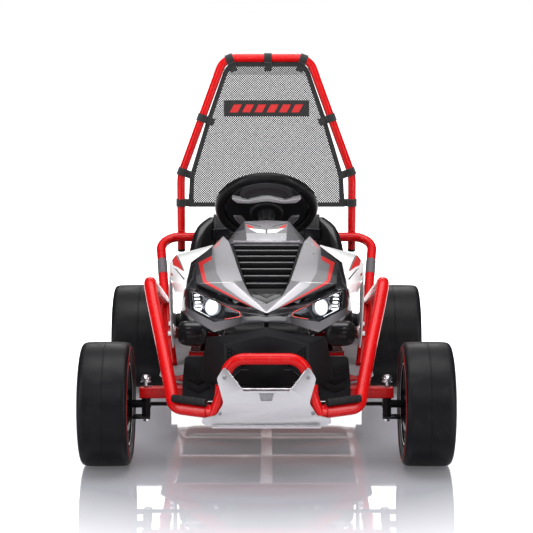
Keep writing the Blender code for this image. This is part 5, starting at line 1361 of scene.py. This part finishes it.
# shroud: honeycomb on its two front faces, the intake's edge, an apron and a grey line along the upper
# edge, a painted highlight
shroudSet = {"corners": [(0.0, -0.558, 0.33), (0.096, -0.53, 0.305), (0.092, -0.548, 0.212),
                         (0.0, -0.562, 0.212)], "cell": 0.0052, "rib": 0.0011, "raise": 0.0016,
             "middle": (0.045, 0.28), "combAt": (-0.002, 0.25, 0), "combs": (8, 10),
             "apronAt": (0.0, -0.554, 0.204), "apron": (0.172, 0.0045, 0.02),
             "lip": [(-1, 0.062, 0.313), (1, 0.0, 0.329), (1, 0.062, 0.313)],
             "field": [(0.0035, 0.258), (0.0035, 0.323), (0.086, 0.3), (0.086, 0.258)],
             "intake": [(0.06, 0.22), (0.073, 0.229), (0.073, 0.236), (0.056, 0.249)]}


def onShroud(x, z, lift, side):  # a point of one front face, seen at x and z
    a, b, c = (spot(*shroudSet["corners"][k]) for k in (3, 1, 2))
    normal = (b - a).cross(c - a).normalized()
    normal = normal if normal.y < 0 else -normal
    place = Vector((x, 0, z))
    place.y = a.y + ((a - place).dot(normal) - a.y * normal.y + place.y * normal.y) / normal.y
    place += normal * lift
    return Vector((side * place.x, place.y, place.z))


combWide, combHigh = shroudSet["cell"] * 3, shroudSet["cell"] * math.sqrt(3)
for end, side in ends:
    comb = settle(made(bpy.ops.mesh.primitive_circle_add, vertices=6, radius=shroudSet["cell"],
                       fill_type="NGON", rotation=(0, 0, 0)))
    hollowed(comb, shroudSet["rib"] / 2)
    comb = joined("comb", [comb, copied(comb, Matrix.Translation((combWide / 2, combHigh / 2, 0)))])
    for count, push in zip(shroudSet["combs"], ((combWide, 0, 0), (0, combHigh, 0))):
        modify(comb, "ARRAY", count=count, use_relative_offset=False, use_constant_offset=True,
               constant_offset_displace=push)
    comb.matrix_world = Matrix.Translation(shroudSet["combAt"])
    recalculate(settle(comb))
    trimmed(comb, shroudSet["field"], shroudSet["middle"])
    for vert in comb.data.vertices:
        vert.co = onShroud(vert.co.x, vert.co.y, shroudSet["raise"] / 2, side)
    modify(recalculate(comb), "SOLIDIFY", thickness=shroudSet["raise"], offset=0)
    fit(comb, "shroudMesh." + end, glossBlack, angle=30)
halfIntake = [onShroud(x, z, 0.0008, 1) for x, z in shroudSet["intake"]]
intake = tube(roundedRoute(bothSides(halfIntake), 0.006), 0.0022, 4)
fit(intake, "shroudIntake", glossBlack)
apron = block(spot(*shroudSet["apronAt"]), shroudSet["apron"], None, 0.0015)
fit(apron, "shroudApron", grainBlack)
# painted highlight: a thin grey tube along the black shroud's top edge
lip = tube([onShroud(x, z, 0.0006, side) for side, x, z in shroudSet["lip"]], 0.0011, 4)
fit(lip, "shroudHighlightLine", leafGrey)
print("grips and shroud details made")

# skid plate again: a plain pressed plate, left bare, and a bright rim along its upper edge
badge = prismOf([spot(x, skidSet["front"] + 0.0002, z) for x, z in skidSet["badge"]],
                Vector((0, -0.0012, 0)))
pocket(badge, lambda c, n: n.y < -0.9, 0.0016, (0, 0.0008, 0))
fit(softEdges(badge, 0.0002, 1, 40), "skidFrame", dullSteel)
edgeLine = roundedRoute([spot(x, skidSet["front"], z) for x, z in skidSet["rim"]], 0.012)
skidRim = tube(edgeLine, 0.0019, 4)
fit(skidRim, "skidRim", zinc)

# kingpins: hexagon head, plain shank, washer and domed nut
pinSet = {"x": 0.281, "y": -0.43, "head": 0.1045, "beamTop": 0.186}
for end, side in ends:
    foot, top, upwards = spot(side * pinSet["x"], pinSet["y"], 0.0), pinSet["beamTop"], Vector((0, 0, 1))
    head = rod(foot + upwards * pinSet["head"], foot + upwards * 0.1113, 0.008, 6, 0.0006)
    nut = rod(foot + upwards * (top + 0.0122), foot + upwards * (top + 0.019), 0.0098, 6, 0.0008)
    shank = turned([(0.111, 0.0), (0.111, 0.004), (top + 0.011, 0.004), (top + 0.011, 0.0)],
                   foot, upwards, 24)
    washer = turned(shifted([(0.0105, 0.0036), (0.0105, 0.012), (0.0122, 0.0124), (0.0122, 0.0036),
                             (0.0105, 0.0036)], top), foot, upwards, 40)
    cap = turned(shifted([(0.0186, 0.0), (0.0186, 0.0118), (0.0196, 0.0126), (0.0215, 0.0124),
                          (0.0245, 0.0105), (0.027, 0.007), (0.0282, 0.003), (0.0284, 0.0)], top),
                 foot, upwards, 40)
    fit([head, shank, washer, nut, cap], "kingpin." + end, zinc, ["kingpin_" + end],
        body="knuckle_" + end)

# battery lid with its strap, motor end caps with their screws
driveSet = {"lid": (0.204, 0.159, 0.009), "lidAt": (0.0, 0.185, 0.2178), "strap": (0.03, 0.168, 0.0022),
            "strapAt": (0.0, 0.185, 0.2232), "motor": (0.186, 0.358, 0.203), "can": 0.019, "screws": 4}
lid = block(spot(*driveSet["lidAt"]), driveSet["lid"], None, 0.003, 3)
pocket(lid, lambda c, n: n.z > 0.95, 0.012, (0, 0, -0.002))
fit(softEdges(lid, 0.0006, 2, 40), "batteryLid", grainBlack)
holder = block(spot(*driveSet["strapAt"]), driveSet["strap"], None, 0.0006, 1)
fit(holder, "batteryStrap", belt)
for end, side in ends:
    centre = spots([driveSet["motor"]], side)[0]
    r, axis = driveSet["can"], Vector((-side, 0, 0))
    can = turned([(-0.066, r * 0.9), (-0.064, r + 0.0006), (-0.05, r + 0.0006), (-0.048, r + 0.0001),
                  (-0.012, r + 0.0001), (-0.01, r + 0.0012), (0.0, r + 0.0012), (0.0022, r - 0.0008),
                  (0.003, r * 0.7), (0.0018, r * 0.66), (0.0018, r * 0.34), (0.005, r * 0.3),
                  (0.0058, r * 0.22), (0.0058, 0.0)], centre, axis, 48)
    fit(can, "motorCan." + end, grainBlack, angle=40)
    screws = []
    for k in range(driveSet["screws"]):
        turn = 2 * math.pi * (k + 0.5) / driveSet["screws"]
        at = centre + Vector((0, math.cos(turn), math.sin(turn))) * r * 0.83 + axis * 0.0012
        screws.append(domeBolt(at, axis, 0.0022, 0.0016))
    fit(screws, "motorScrews." + end, dullSteel)
print("battery and motors detailed")

softCopies([
    (["front_axle_beam"], redPaint, "red_steel", 0.0012),
    (["chassis_frame"], redPaint, "red_steel", 0.0018),
    (["seat_frame"], redPaint, "red_steel", 0.0015),
    (["knuckle_left", "knuckle_right"], blackPaint, "black_steel", 0.0008),
    (["battery_pack"], grainBlack, "black_plastic", 0.002),
    (["floor_plate"], floorSteel, "floor_metal", 0.0008),
    (["column_bracket"], blackPaint, "black_steel", 0.001),
], ".softened", 35)
print("steel parts softened")
